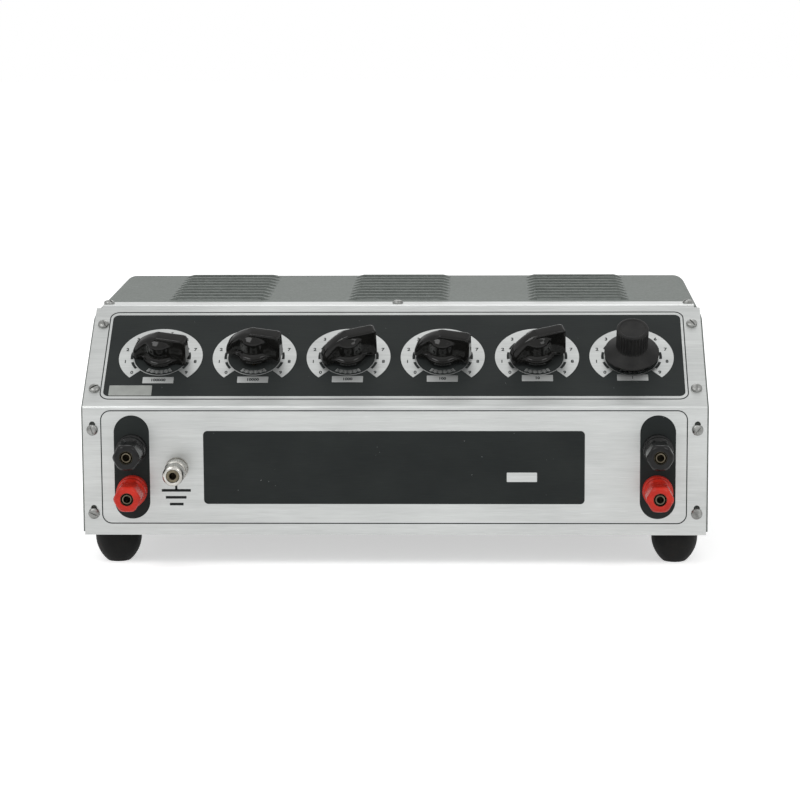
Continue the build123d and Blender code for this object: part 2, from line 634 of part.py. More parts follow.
def switch_shaft(rest):
    """Switch shaft with its staked star wheel, one notch for each position."""
    top = KNOB_LIFT + KNOB_RECESS_DEPTH + SHAFT_IN_KNOB
    shaft = cylinder(SHAFT_RADIUS, SHAFT_END_Z, top)
    star = cylinder(STAR_RADIUS, STAR_Z - STAR_THICKNESS, STAR_Z)
    notch = cylinder(ROLLER_RADIUS + SPRING_GAP, STAR_Z - 2 * STAR_THICKNESS, STAR_Z + STAR_THICKNESS)
    notch_y = STAR_RADIUS + ROLLER_RADIUS + SPRING_GAP - STAR_NOTCH_DEPTH
    for position in range(POSITIONS):
        star -= Rot(0, 0, 180 + dial_angle(position) - dial_angle(rest)) * Pos(0, notch_y, 0) * notch
    return shaft + star


def switch_rotor():
    """Moulded rotor with the arm that bridges the collector ring and one contact."""
    hub = cylinder(ROTOR_HUB_RADIUS, ROTOR_Z - ROTOR_THICKNESS, ROTOR_Z)
    half = ROTOR_ARM_WIDTH / 2
    reach = (CONTACT_INNER + STATOR_RADIUS) / 2
    arm = block((-half, 0, ROTOR_Z - ROTOR_ARM_THICKNESS), (half, reach + half, ROTOR_Z))
    orbits = ((COLLECTOR_INNER + COLLECTOR_OUTER) / 2, reach)
    wipers = [Pos(0, orbit, 0) * cylinder(WIPER_RADIUS, ROTOR_Z, ROTOR_Z + WIPER_HEIGHT) for orbit in orbits]
    bore = cylinder(SHAFT_RADIUS + FIXED_GAP, ROTOR_Z - ROTOR_THICKNESS, ROTOR_Z)
    return hub + [arm] + wipers - bore


def knob_cavity():
    """Cutter for a knob's recess over the switch nut and its shaft bore."""
    recess_top = KNOB_LIFT + KNOB_RECESS_DEPTH
    recess = cylinder(KNOB_RECESS_RADIUS, KNOB_LIFT - 1, recess_top)
    return recess + cylinder(SHAFT_RADIUS + FIXED_GAP, KNOB_LIFT, recess_top + SHAFT_IN_KNOB + FIT_GAP)


def pointer_knob():
    """Moulded pointer knob: flared round skirt, domed boss and a wedge-shaped pointer along local Y."""
    rim = (POINTER_BASE_RADIUS, KNOB_LIFT + POINTER_RIM)
    waist = (POINTER_BOSS_RADIUS, 0.68 * POINTER_BOSS_HEIGHT)
    flare = (0.42 * rim[0] + 0.58 * waist[0] - 0.5, (rim[1] + waist[1]) / 2 - 0.6)
    crown = (POINTER_BOSS_RADIUS, POINTER_BOSS_HEIGHT)
    dome_rise = POINTER_DOME_HEIGHT - POINTER_BOSS_HEIGHT
    dome_radius = (POINTER_BOSS_RADIUS ** 2 + dome_rise ** 2) / (2 * dome_rise)
    half_angle = asin(POINTER_BOSS_RADIUS / dome_radius) / 2
    shoulder = (dome_radius * sin(half_angle), POINTER_DOME_HEIGHT - dome_radius * (1 - cos(half_angle)))
    outline = [
        Line((0, KNOB_LIFT), (POINTER_BASE_RADIUS, KNOB_LIFT)),
        Line((POINTER_BASE_RADIUS, KNOB_LIFT), rim),
        ThreePointArc(rim, flare, waist),
        Line(waist, crown),
        ThreePointArc(crown, shoulder, (0, POINTER_DOME_HEIGHT)),
        Line((0, POINTER_DOME_HEIGHT), (0, KNOB_LIFT)),
    ]
    body = revolve(Plane.XZ * make_face(outline), Axis.Z)
    length = POINTER_REACH + POINTER_TAIL
    middle = (POINTER_REACH - POINTER_TAIL) / 2
    foot = Pos(0, middle, KNOB_LIFT) * RectangleRounded(POINTER_BASE_WIDTH, length, POINTER_CORNER)
    top_length = length - 2 * POINTER_TOP_INSET
    top = Pos(0, middle, POINTER_TOP_HEIGHT) * RectangleRounded(POINTER_TOP_WIDTH, top_length, POINTER_CORNER)
    wedge = loft([foot, top])
    tip_edge = wedge.edges().filter_by(Axis.X).sort_by(Axis.Z)[-2:].sort_by(Axis.Y)[-1]
    wedge = chamfer(tip_edge, POINTER_TIP_CHAMFER)
    return body + wedge - knob_cavity()


def toothed_outline(radius, depth, count):
    """Closed outline with evenly spaced ridges."""
    corners = []
    for index in range(2 * count):
        angle = pi * index / count
        reach = radius - depth * (index % 2)
        corners.append((reach * sin(angle), reach * cos(angle)))
    return make_face(Polyline(*corners, close=True))


def fluted_knob():
    """Round fluted cap on a wide conical skirt."""
    skirt = turned([
        (0, KNOB_LIFT),
        (FLUTED_SKIRT_RADIUS, KNOB_LIFT),
        (FLUTED_SKIRT_RADIUS, KNOB_LIFT + FLUTED_SKIRT_RIM),
        (FLUTED_CAP_RADIUS + FIT_GAP, FLUTED_SHOULDER_HEIGHT),
        (0, FLUTED_SHOULDER_HEIGHT),
    ])
    outline = toothed_outline(FLUTED_CAP_RADIUS, FLUTE_DEPTH, FLUTE_COUNT)
    cap_top = FLUTED_HEIGHT - FLUTED_TOP_CHAMFER
    cap = Pos(0, 0, FLUTED_SHOULDER_HEIGHT) * extrude(outline, amount=cap_top - FLUTED_SHOULDER_HEIGHT)
    crown_radius = FLUTED_CAP_RADIUS - FLUTE_DEPTH
    crown = turned([
        (0, cap_top),
        (crown_radius, cap_top),
        (crown_radius - FLUTED_TOP_CHAMFER, FLUTED_HEIGHT),
        (0, FLUTED_HEIGHT),
    ])
    return skirt + [cap, crown] - knob_cavity()


def post_stud(base_height, reach, jack_depth):
    """Threaded binding-post stud with collar, barrel, jack bore and the cross hole for a wire."""
    collar_top = base_height + COLLAR_HEIGHT
    barrel_top = reach - BARREL_RECESS
    stud = cylinder(STUD_RADIUS, -STUD_INNER_LENGTH, base_height)
    stud += cylinder(COLLAR_RADIUS, base_height, collar_top)
    stud += cylinder(BARREL_RADIUS, collar_top, barrel_top)
    cross = Rot(0, 90, 0) * cylinder(CROSS_HOLE_RADIUS, -COLLAR_RADIUS, COLLAR_RADIUS)
    stud -= Pos(0, 0, collar_top + CROSS_HOLE_HEIGHT) * cross
    return stud - cylinder(JACK_RADIUS, barrel_top - jack_depth, reach)


def post_base():
    """Insulating base with the shoulder that passes through the panel."""
    rim = POST_BASE_RADIUS
    bevel = 0.16 * POST_BASE_HEIGHT
    base = turned([
        (0, -PANEL_THICKNESS),
        (SHOULDER_RADIUS, -PANEL_THICKNESS),
        (SHOULDER_RADIUS, 0),
        (rim, 0),
        (rim, POST_BASE_HEIGHT - bevel),
        (rim - bevel, POST_BASE_HEIGHT),
        (0, POST_BASE_HEIGHT),
    ])
    return base - cylinder(STUD_RADIUS + FIXED_GAP, -PANEL_THICKNESS, POST_BASE_HEIGHT)


def ground_base():
    """Metal seat of the ground post."""
    seat = cylinder(GROUND_BASE_RADIUS, 0, GROUND_BASE_HEIGHT)
    return seat - cylinder(STUD_RADIUS + FIXED_GAP, 0, GROUND_BASE_HEIGHT)


def post_washer():
    """Insulating washer behind the panel."""
    high = -PANEL_THICKNESS
    washer = cylinder(WASHER_RADIUS, high - WASHER_THICKNESS, high)
    return washer - cylinder(STUD_RADIUS + FIXED_GAP, high - WASHER_THICKNESS, high)


def solder_lug(seat, side):
    """Ring lug on the stud, its tail turned towards the middle of the cabinet."""
    low = -seat - LUG_THICKNESS
    half = LUG_TAIL_WIDTH / 2
    xs = sorted((0, -side * LUG_TAIL))
    lug = cylinder(LUG_RADIUS, low, -seat) + block((xs[0], -half, low), (xs[1], half, -seat))
    return lug - cylinder(STUD_RADIUS + FIXED_GAP, low, -seat)


def post_nut(seat):
    """Hexagonal nut that clamps a post from inside."""
    high = -seat - LUG_THICKNESS
    nut = hexagon(POST_NUT_ACROSS_FLATS, high - POST_NUT_HEIGHT, high)
    return nut - cylinder(STUD_RADIUS + FIXED_GAP, high - POST_NUT_HEIGHT, high)


def insert_span(base_height):
    """Lower and upper height of a cap's metal insert."""
    low = base_height + COLLAR_HEIGHT + CAP_SEAT_GAP + 2 * CROSS_HOLE_HEIGHT
    return low, low + INSERT_LENGTH


def post_insert(base_height):
    """Threaded metal insert that rides on the stud inside the cap."""
    low, high = insert_span(base_height)
    return cylinder(INSERT_RADIUS, low, high) - cylinder(BARREL_RADIUS + INSERT_CLEARANCE, low, high)


def cap_cavity(base_height, reach):
    """Cutter for a cap's barrel bore and the pocket of its insert."""
    low = base_height + COLLAR_HEIGHT
    pocket = cylinder(INSERT_RADIUS + INSERT_CLEARANCE, low, insert_span(base_height)[1] + INSERT_CLEARANCE)
    return pocket + cylinder(BARREL_RADIUS + CAP_BORE_GAP, low, reach + 1)


def signal_cap():
    """Insulated thumb nut: round flange and rounded hexagonal body with a bevelled nose."""
    low = POST_BASE_HEIGHT + COLLAR_HEIGHT + CAP_SEAT_GAP
    flange_top = low + CAP_FLANGE_HEIGHT
    flange = turned([
        (0, low),
        (CAP_FLANGE_RADIUS, low),
        (CAP_FLANGE_RADIUS, flange_top - 1),
        (CAP_ACROSS_FLATS / 2, flange_top),
        (0, flange_top),
    ])
    outline = RegularPolygon(radius=CAP_ACROSS_FLATS / 2, side_count=6, major_radius=False)
    outline = fillet(outline.vertices(), CAP_NOSE_CHAMFER)
    body = Pos(0, 0, flange_top) * extrude(outline, amount=POST_REACH - flange_top)
    body = chamfer(body.faces().sort_by(Axis.Z)[-1].edges(), CAP_NOSE_CHAMFER)
    return flange + body - cap_cavity(POST_BASE_HEIGHT, POST_REACH)


def ground_cap():
    """Knurled metal thumb nut of the ground post."""
    low = GROUND_BASE_HEIGHT + COLLAR_HEIGHT + CAP_SEAT_GAP
    outline = toothed_outline(GROUND_CAP_RADIUS, GROUND_CAP_FLUTE_DEPTH, GROUND_CAP_FLUTES)
    knurl_top = GROUND_POST_REACH - CAP_NOSE_CHAMFER
    body = Pos(0, 0, low) * extrude(outline, amount=knurl_top - low)
    nose_radius = GROUND_CAP_RADIUS - GROUND_CAP_FLUTE_DEPTH
    nose = turned([
        (0, knurl_top),
        (nose_radius, knurl_top),
        (nose_radius - CAP_NOSE_CHAMFER, GROUND_POST_REACH),
        (0, GROUND_POST_REACH),
    ])
    return body + nose - cap_cavity(GROUND_BASE_HEIGHT, GROUND_POST_REACH)


def resistor():
    """Tubular wire-wound resistor along X with a lead at each end."""
    reach = (BOARD_PITCH - BOARD_THICKNESS) / 2
    body = cylinder(RESISTOR_RADIUS, -RESISTOR_BODY_LENGTH / 2, RESISTOR_BODY_LENGTH / 2)
    return Rot(0, 90, 0) * (body + cylinder(RESISTOR_LEAD_RADIUS, -reach, reach))


def decade_resistors(decade):
    """The resistors of one decade, in rows and columns between its two boards."""
    x = (decade - (SWITCH_COUNT - 1) / 2) * BOARD_PITCH
    middle_y = (BOARD_FRONT_Y + BOARD_REAR_Y) / 2 + (decade % 2 - 0.5) * RESISTOR_STAGGER
    spacing = (BOARD_REAR_Y - BOARD_FRONT_Y - 2 * RESISTOR_EDGE_INSET) / (RESISTOR_COLUMNS - 1)
    pieces = []
    for index in range(RESISTORS_PER_DECADE):
        column = index % RESISTOR_COLUMNS - (RESISTOR_COLUMNS - 1) / 2
        row = index // RESISTOR_COLUMNS
        y = middle_y + column * spacing
        z = FLOOR_Z + RESISTOR_FIRST_HEIGHT + row * RESISTOR_ROW_SPACING
        pieces.append(Pos(x, y, z) * resistor())
    return pieces


def board_xs():
    """Centres of the resistor boards, one more than there are decades."""
    return [(index - SWITCH_COUNT / 2) * BOARD_PITCH for index in range(SWITCH_COUNT + 1)]


def resistor_board():
    """Insulating end board with two tabs in the rails."""
    half = BOARD_THICKNESS / 2
    board = block((-half, BOARD_FRONT_Y, RAIL_TOP_Z), (half, BOARD_REAR_Y, RAIL_TOP_Z + BOARD_HEIGHT))
    tabs = [
        block((-half, y - TAB_WIDTH / 2, RAIL_TOP_Z - TAB_DEPTH), (half, y + TAB_WIDTH / 2, RAIL_TOP_Z))
        for y in RAIL_YS
    ]
    return board + tabs


def board_rail(y):
    """Hat-section rail on the bottom plate with a slot for each board's tab."""
    half_length = HALF_WIDTH - RAIL_SIDE_INSET
    half = RAIL_WIDTH / 2
    rail = block((-half_length, y - half, RAIL_TOP_Z - SHEET), (half_length, y + half, RAIL_TOP_Z))
    for side in (-1, 1):
        ys = sorted((y + side * half, y + side * (half - SHEET)))
        rail += block((-half_length, ys[0], FLOOR_Z), (half_length, ys[1], RAIL_TOP_Z))
        ys = sorted((y + side * half, y + side * (half + RAIL_FOOT)))
        rail += block((-half_length, ys[0], FLOOR_Z), (half_length, ys[1], FLOOR_Z + SHEET))
    slot_x = BOARD_THICKNESS / 2 + TAB_GAP
    slot_y = TAB_WIDTH / 2 + TAB_GAP
    low_z = RAIL_TOP_Z - 2 * SHEET
    slots = [
        block((x - slot_x, y - slot_y, low_z), (x + slot_x, y + slot_y, RAIL_TOP_Z + 1))
        for x in board_xs()
    ]
    return rail - slots


def wire(points):
    """Round hook-up wire along rounded corners."""
    path = FilletPolyline(*points, radius=WIRE_BEND)
    return sweep(Plane(origin=path @ 0, z_dir=path % 0) * Circle(WIRE_RADIUS), path)


def hookup_wires():
    """Bus wires between the left and right posts and the ground wire to the bottom plate."""
    lug_back = PANEL_THICKNESS + WASHER_THICKNESS + LUG_THICKNESS
    end_x = POST_SIDE_OFFSET - LUG_TAIL + WIRE_END_INSET
    wires = []
    for height in POST_HEIGHTS:
        z = BASE_Z + height
        wires.append(wire([
            (-end_x, FRONT_Y + lug_back, z),
            (-end_x, FRONT_Y + BUS_WIRE_SETBACK, z),
            (end_x, FRONT_Y + BUS_WIRE_SETBACK, z),
            (end_x, FRONT_Y + lug_back, z),
        ]))
    x = GROUND_POST[0] + LUG_TAIL - WIRE_END_INSET
    wires.append(wire([
        (x, FRONT_Y + PANEL_THICKNESS + LUG_THICKNESS, GROUND_POST[1]),
        (x, FRONT_Y + GROUND_WIRE_SETBACK, GROUND_POST[1]),
        (x, FRONT_Y + GROUND_WIRE_SETBACK, FLOOR_Z),
    ]))
    return wires


def save(name, *shapes):
    """Write one node with all of its solids."""
    solids = [solid for shape in shapes for solid in shape.solids()]
    whole = solids[0] if len(solids) == 1 else Compound(solids)
    export_step(whole, f"parts/{name}.step")


def save_cabinet():
    """Write the cabinet, its fasteners and its feet."""
    save("front_panel", front_panel())
    save("cabinet_cover", cabinet_cover())
    save("back_panel", back_panel())
    save("bottom_plate", bottom_plate())
    seat = PANEL_THICKNESS + SHEET
    save("panel_screws", *[place * screw(seat) for place in panel_screw_places()])
    save("panel_nuts", *[place * screw_nut(seat) for place in panel_screw_places()])
    save("rear_screws", *[place * screw(2 * SHEET) for place in rear_screw_places()])
    save("base_screws", *[place * screw(BOTTOM_THICKNESS + SHEET) for place in base_screw_places()])
    feet = [base_plane(*place) for place in FOOT_PLACES]
    screw_seat = FOOT_HEIGHT - FOOT_RECESS_DEPTH
    save("rubber_feet", *[place * rubber_foot() for place in feet])
    foot_screw = Pos(0, 0, screw_seat) * screw(screw_seat + BOTTOM_THICKNESS)
    save("foot_screws", *[place * foot_screw for place in feet])
    save("foot_nuts", *[place * screw_nut(BOTTOM_THICKNESS) for place in feet])


def save_switches():
    """Write the fixed and the turning pieces of the six switches."""
    places = [slope_plane(x) for x in SWITCH_XS]
    save("switch_bodies", *[place * switch_body() for place in places])
    save("switch_nuts", *[place * switch_nut() for place in places])
    save("switch_stators", *[place * switch_stator() for place in places])
    save("stator_contacts", *[place * contact for place in places for contact in stator_contacts()])
    save("detent_springs", *[place * detent_spring() for place in places])
    for index, (place, rest) in enumerate(zip(places, REST_POSITIONS)):
        turned_place = place * Rot(0, 0, -dial_angle(rest))
        knob = fluted_knob() if index == SWITCH_COUNT - 1 else pointer_knob()
        save(f"knob_{index + 1}", turned_place * knob)
        save(f"switch_shaft_{index + 1}", turned_place * switch_shaft(rest))
        save(f"switch_rotor_{index + 1}", turned_place * switch_rotor())


def save_posts():
    """Write the binding posts."""
    places = [face_plane(*post) for post in SIGNAL_POSTS]
    ground = face_plane(*GROUND_POST)
    studs = [place * post_stud(POST_BASE_HEIGHT, POST_REACH, JACK_DEPTH) for place in places]
    studs.append(ground * post_stud(GROUND_BASE_HEIGHT, GROUND_POST_REACH, GROUND_JACK_DEPTH))
    save("post_studs", *studs)
    save("post_bases_red", *[place * post_base() for place in places[0::2]])
    save("post_bases_black", *[place * post_base() for place in places[1::2]])
    save("ground_post_base", ground * ground_base())
    save("post_washers", *[place * post_washer() for place in places])
    seat = PANEL_THICKNESS + WASHER_THICKNESS
    sides = [1 if x > 0 else -1 for x, _ in SIGNAL_POSTS]
    lugs = [place * solder_lug(seat, side) for place, side in zip(places, sides)]
    save("solder_lugs", *lugs, ground * solder_lug(PANEL_THICKNESS, -1))
    save("post_nuts", *[place * post_nut(seat) for place in places], ground * post_nut(PANEL_THICKNESS))
    for name, place in zip(POST_NAMES, places):
        save(f"post_cap_{name}", place * signal_cap())
        save(f"post_insert_{name}", place * post_insert(POST_BASE_HEIGHT))
    save("post_cap_ground", ground * ground_cap())
    save("post_insert_ground", ground * post_insert(GROUND_BASE_HEIGHT))


def save_resistors():
    """Write the resistor racks and the wiring."""
    for decade in range(SWITCH_COUNT):
        save(f"resistors_decade_{decade + 1}", *decade_resistors(decade))
    save("resistor_boards", *[Pos(x, 0, 0) * resistor_board() for x in board_xs()])
    save("board_rails", *[board_rail(y) for y in RAIL_YS])
    save("hookup_wires", *hookup_wires())


def main():
    """Write every node of the box."""
    os.makedirs("parts", exist_ok=True)
    save_cabinet()
    save_switches()
    save_posts()
    save_resistors()


main()
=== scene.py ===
"""Looks of the six-decade power resistance box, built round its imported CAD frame.

Lengths in the classes are millimetres. Meshes are written in metres, in the frame's own place.
"""

import json
import logging
import math
from dataclasses import dataclass
from enum import Enum
from functools import cached_property
from typing import Iterable, Sequence, Union

import bmesh
import bpy
import numpy as np
from mathutils import Matrix

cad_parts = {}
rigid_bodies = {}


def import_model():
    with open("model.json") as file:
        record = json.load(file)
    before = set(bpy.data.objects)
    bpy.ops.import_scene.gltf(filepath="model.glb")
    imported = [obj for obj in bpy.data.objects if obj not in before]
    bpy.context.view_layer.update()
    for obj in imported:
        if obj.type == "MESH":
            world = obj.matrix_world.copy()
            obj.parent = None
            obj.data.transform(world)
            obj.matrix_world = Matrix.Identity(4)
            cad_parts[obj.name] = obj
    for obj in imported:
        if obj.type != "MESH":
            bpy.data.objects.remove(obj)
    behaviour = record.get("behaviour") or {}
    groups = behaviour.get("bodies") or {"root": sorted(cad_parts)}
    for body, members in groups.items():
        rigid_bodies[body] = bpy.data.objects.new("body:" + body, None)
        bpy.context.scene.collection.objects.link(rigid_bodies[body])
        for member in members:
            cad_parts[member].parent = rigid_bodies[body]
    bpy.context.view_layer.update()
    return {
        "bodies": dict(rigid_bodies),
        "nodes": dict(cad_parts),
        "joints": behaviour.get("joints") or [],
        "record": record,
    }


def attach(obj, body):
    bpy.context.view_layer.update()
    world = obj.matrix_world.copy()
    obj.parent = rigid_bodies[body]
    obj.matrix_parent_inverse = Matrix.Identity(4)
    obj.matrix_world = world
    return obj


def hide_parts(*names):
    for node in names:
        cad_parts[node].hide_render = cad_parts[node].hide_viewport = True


LOG = logging.getLogger("resistance_box")
MM = 0.001
SHARP_ANGLE = math.radians(32)
MERGE_DISTANCE = 2e-8
STROKE_GAIN = 0.11

Colour = tuple[float, float, float]
Point = tuple[float, float, float]
Span = tuple[float, float]
Extent = tuple[float, float, float, float]
Value = Union["Signal", float, Sequence[float]]


class Lay(Enum):
    """Axis that the marks of a finish run along."""

    X = 0
    Y = 1
    Z = 2

    def stretch(self, factor: float) -> Point:
        """Stretch factors along X, Y and Z, with the given one on this axis."""
        return tuple(factor if axis == self.value else 1.0 for axis in range(3))


@dataclass(frozen=True)
class Place:
    """Local frame on the box: an origin, the direction to the right and the outward normal."""

    origin: Point
    right: Point
    outward: Point

    def to_row(self, points: np.ndarray) -> np.ndarray:
        """Local millimetres as metres of the row frame: origin + x right + y up + z outward."""
        up = np.cross(self.outward, self.right)
        axes = np.array([self.right, up, self.outward], float)
        return (np.asarray(self.origin) + points @ axes) * MM

    def at(self, x: float, y: float, z: float = 0.0) -> "Place":
        """The same directions with the origin moved to a local point."""
        origin = self.to_row(np.array([x, y, z], float)) / MM
        return Place(tuple(origin), self.right, self.outward)


@dataclass(frozen=True)
class Box:
    """Main sizes of the cabinet, as the CAD source has them."""

    width: float = 349.0
    depth: float = 209.5
    face_height: float = 72.5
    slope_run: float = 71.7
    slope_rise: float = 47.4
    strip_depth: float = 14.0
    front_y: float = -91.75
    base_z: float = 18.5
    dial_height: float = 41.4
    dial_pitch: float = 53.2
    dial_count: int = 6
    index_step: float = 29.0
    rest_positions: tuple[int, ...] = (8, 8, 7, 8, 7, 0)
    knob_lifts: tuple[float, ...] = (0.7, 3.8, 2.1, 2.2, 2.4, 2.9)

    @property
    def slope(self) -> Place:
        """Frame on the sloping face, its origin at the middle of the bend."""
        angle = math.atan2(self.slope_rise, self.slope_run)
        origin = (0.0, self.front_y, self.base_z + self.face_height)
        return Place(origin, (1, 0, 0), (0, -math.sin(angle), math.cos(angle)))

    @property
    def face(self) -> Place:
        """Frame on the upright face, its origin at the middle of the bottom edge."""
        return Place((0.0, self.front_y, self.base_z), (1, 0, 0), (0, -1, 0))

    @property
    def top(self) -> Place:
        """Frame on the top strip, its origin over the rear edge of the slope."""
        height = self.base_z + self.face_height + self.slope_rise
        return Place((0.0, self.front_y + self.slope_run, height), (1, 0, 0), (0, 0, 1))

    @property
    def rear(self) -> Place:
        """Frame on the back, its origin at the middle of the bottom edge."""
        return Place((0.0, self.front_y + self.depth, self.base_z), (-1, 0, 0), (0, 1, 0))

    @property
    def base(self) -> Place:
        """Frame under the bottom plate, looking down, its origin under the front edge."""
        return Place((0.0, self.front_y, self.base_z), (1, 0, 0), (0, 0, -1))

    def dial_x(self, index: int) -> float:
        """Centre of a dial across the box."""
        return (index - (self.dial_count - 1) / 2) * self.dial_pitch

    def dial_angle(self, position: float) -> float:
        """Clockwise angle of a dial position from straight up the slope, in radians."""
        return math.radians((position - 4.5) * self.index_step)


class Signal:
    """A shader socket that can be used in arithmetic."""

    def __init__(self, graph: "Graph", socket: bpy.types.NodeSocket) -> None:
        """Wraps one output socket of a graph."""
        self.graph = graph
        self.socket = socket

    def _math(self, operation: str, first: Value, second: Value) -> "Signal":
        """One Math node on two values."""
        return self.graph.node("ShaderNodeMath", {"operation": operation}, {0: first, 1: second})

    def __add__(self, other: Value) -> "Signal":
        """Sum."""
        return self._math("ADD", self, other)

    __radd__ = __add__

    def __mul__(self, other: Value) -> "Signal":
        """Product."""
        return self._math("MULTIPLY", self, other)

    __rmul__ = __mul__

    def __sub__(self, other: Value) -> "Signal":
        """Difference."""
        return self._math("SUBTRACT", self, other)

    def __rsub__(self, other: Value) -> "Signal":
        """Difference from a value."""
        return self._math("SUBTRACT", other, self)

    def __pow__(self, other: Value) -> "Signal":
        """Power."""
        return self._math("POWER", self, other)

    def between(self, low: float, high: float) -> "Signal":
        """0 below low, 1 above high and straight between them."""
        inputs = {"Value": self, "From Min": low, "From Max": high}
        return self.graph.node("ShaderNodeMapRange", {}, inputs)


class Graph:
    """Node tree of a material or of the world."""

    def __init__(self, owner: Union[bpy.types.Material, bpy.types.World]) -> None:
        """Empties the node tree of its owner."""
        owner.use_nodes = True
        self.owner = owner
        self.tree = owner.node_tree
        self.tree.nodes.clear()

    @classmethod
    def named(cls, name: str) -> "Graph":
        """Graph of a new material."""
        return cls(bpy.data.materials.new(name))

    @cached_property
    def coordinates(self) -> Signal:
        """Coordinates of the object, in metres."""
        return self.node("ShaderNodeTexCoord", {}, {}, "Object")

    def node(self, kind: str, settings: dict, inputs: dict, output: Union[str, int] = 0) -> Signal:
        """Adds any node.

        Args:
            kind: type of the node.
            settings: properties that are set first; "stops" are a ramp's (place, colour) pairs.
            inputs: values or signals of the sockets, by name or number.
            output: the socket that is given back.

        Returns:
            The chosen output as a signal.
        """
        made = self.tree.nodes.new(kind)
        for key, value in settings.items():
            if key == "stops":
                for number, (position, colour) in enumerate(value):
                    stops = made.color_ramp.elements
                    stop = stops[number] if number < 2 else stops.new(position)
                    stop.position, stop.color = position, (*colour, 1)
            else:
                setattr(made, key, value)
        for key, value in inputs.items():
            if isinstance(value, Signal):
                self.tree.links.new(value.socket, made.inputs[key])
            elif isinstance(value, tuple) and made.inputs[key].type == "RGBA":
                made.inputs[key].default_value = (*value, 1)
            else:
                made.inputs[key].default_value = value
        return Signal(self, made.outputs[output]) if len(made.outputs) else None

    def noise(self, size: float, stretch: Point = (1, 1, 1), detail: float = 2.0) -> Signal:
        """Noise with features of about the given size.

        Args:
            size: size of a feature in millimetres.
            stretch: how much longer a feature is along each axis.
            detail: octaves of finer noise.

        Returns:
            The noise, around 0.5.
        """
        scale = tuple(1 / (size * MM * factor) for factor in stretch)
        vector = self.node("ShaderNodeMapping", {}, {"Vector": self.coordinates, "Scale": scale})
        return self.node("ShaderNodeTexNoise", {}, {"Vector": vector, "Scale": 1.0, "Detail": detail})

    def cells(self, size: float, stretch: Point = (1, 1, 1)) -> Signal:
        """Distance to the nearest of scattered points, spaced about the given size in millimetres."""
        scale = tuple(1 / (size * MM * factor) for factor in stretch)
        vector = self.node("ShaderNodeMapping", {}, {"Vector": self.coordinates, "Scale": scale})
        return self.node("ShaderNodeTexVoronoi", {}, {"Vector": vector, "Scale": 1.0})

    def mix(self, mask: Value, first: Value, second: Value) -> Signal:
        """Colour that goes from the first to the second as the mask goes from 0 to 1."""
        settings = {"data_type": "RGBA"}
        return self.node("ShaderNodeMix", settings, {0: mask, 6: first, 7: second}, 2)

    def bump(self, height: Signal, depth: float) -> Signal:
        """Normal of a height map of the given depth in millimetres."""
        return self.node("ShaderNodeBump", {}, {"Height": height, "Distance": depth * MM})

    def surface(self, **sockets: Value) -> bpy.types.Material:
        """Closes the graph with a Principled surface.

        Args:
            sockets: values by socket name, with underscores for spaces.

        Returns:
            The finished material.
        """
        inputs = {name.replace("_", " "): value for name, value in sockets.items()}
        shader = self.node("ShaderNodeBsdfPrincipled", {}, inputs)
        self.node("ShaderNodeOutputMaterial", {}, {"Surface": shader})
        return self.owner


@dataclass(frozen=True)
class BrushedSheet:
    """Bare sheet metal with a fine brushed grain, blotches of handling and a few scratches."""

    colour: Colour = (0.56, 0.575, 0.565)
    shade: Colour = (0.42, 0.43, 0.425)
    roughness: float = 0.4
    grain: float = 0.22

    def material(self, name: str) -> bpy.types.Material:
        """Builds the finish under a name."""
        graph = Graph.named(name)
        fine = graph.noise(self.grain, Lay.X.stretch(60.0), 4.0)
        broad = graph.noise(2.6, Lay.X.stretch(26.0), 3.0)
        blotch = graph.noise(34.0, Lay.X.stretch(1.6), 3.0)
        wear = graph.noise(0.6, Lay.X.stretch(34.0), 1.0).between(0.72, 0.78)
        tone = (fine * 0.55 + broad * 0.3 + blotch * 0.35).between(0.42, 0.78)
        colour = graph.mix(tone, self.shade, self.colour)
        colour = graph.mix(wear * 0.35, colour, (0.8, 0.81, 0.8))
        rough = fine * 0.16 + blotch * 0.16 + (self.roughness - 0.16)
        normal = graph.bump(fine + wear * 0.5, 0.012)
        return graph.surface(Base_Color=colour, Metallic=1.0, Roughness=rough, Normal=normal)


@dataclass(frozen=True)
class HammeredPaint:
    """Grey stoved paint with a fine hammered skin and faint rolling streaks."""

    colour: Colour = (0.225, 0.243, 0.23)
    shade: Colour = (0.155, 0.168, 0.158)
    roughness: float = 0.5
    specular: float = 0.02

    def material(self, name: str) -> bpy.types.Material:
        """Builds the finish under a name."""
        graph = Graph.named(name)
        skin = graph.cells(1.5)
        mottle = graph.noise(2.2, Lay.X.stretch(2.4), 3.0)
        streak = graph.noise(0.9, Lay.X.stretch(30.0))
        dust = graph.noise(60.0)
        tone = (skin * 0.4 + mottle * 0.7 + streak * 0.25 + dust * 0.2).between(0.45, 0.98)
        colour = graph.mix(tone, self.shade, self.colour)
        chip = graph.noise(1.3, detail=4.0).between(0.79, 0.81)
        colour = graph.mix(chip * 0.6, colour, (0.4, 0.4, 0.39))
        rough = mottle * 0.2 + (self.roughness - 0.1)
        normal = graph.bump(skin + mottle * 0.5, 0.05)
        return graph.surface(
            Base_Color=colour, Roughness=rough, Normal=normal, Specular_IOR_Level=self.specular
        )


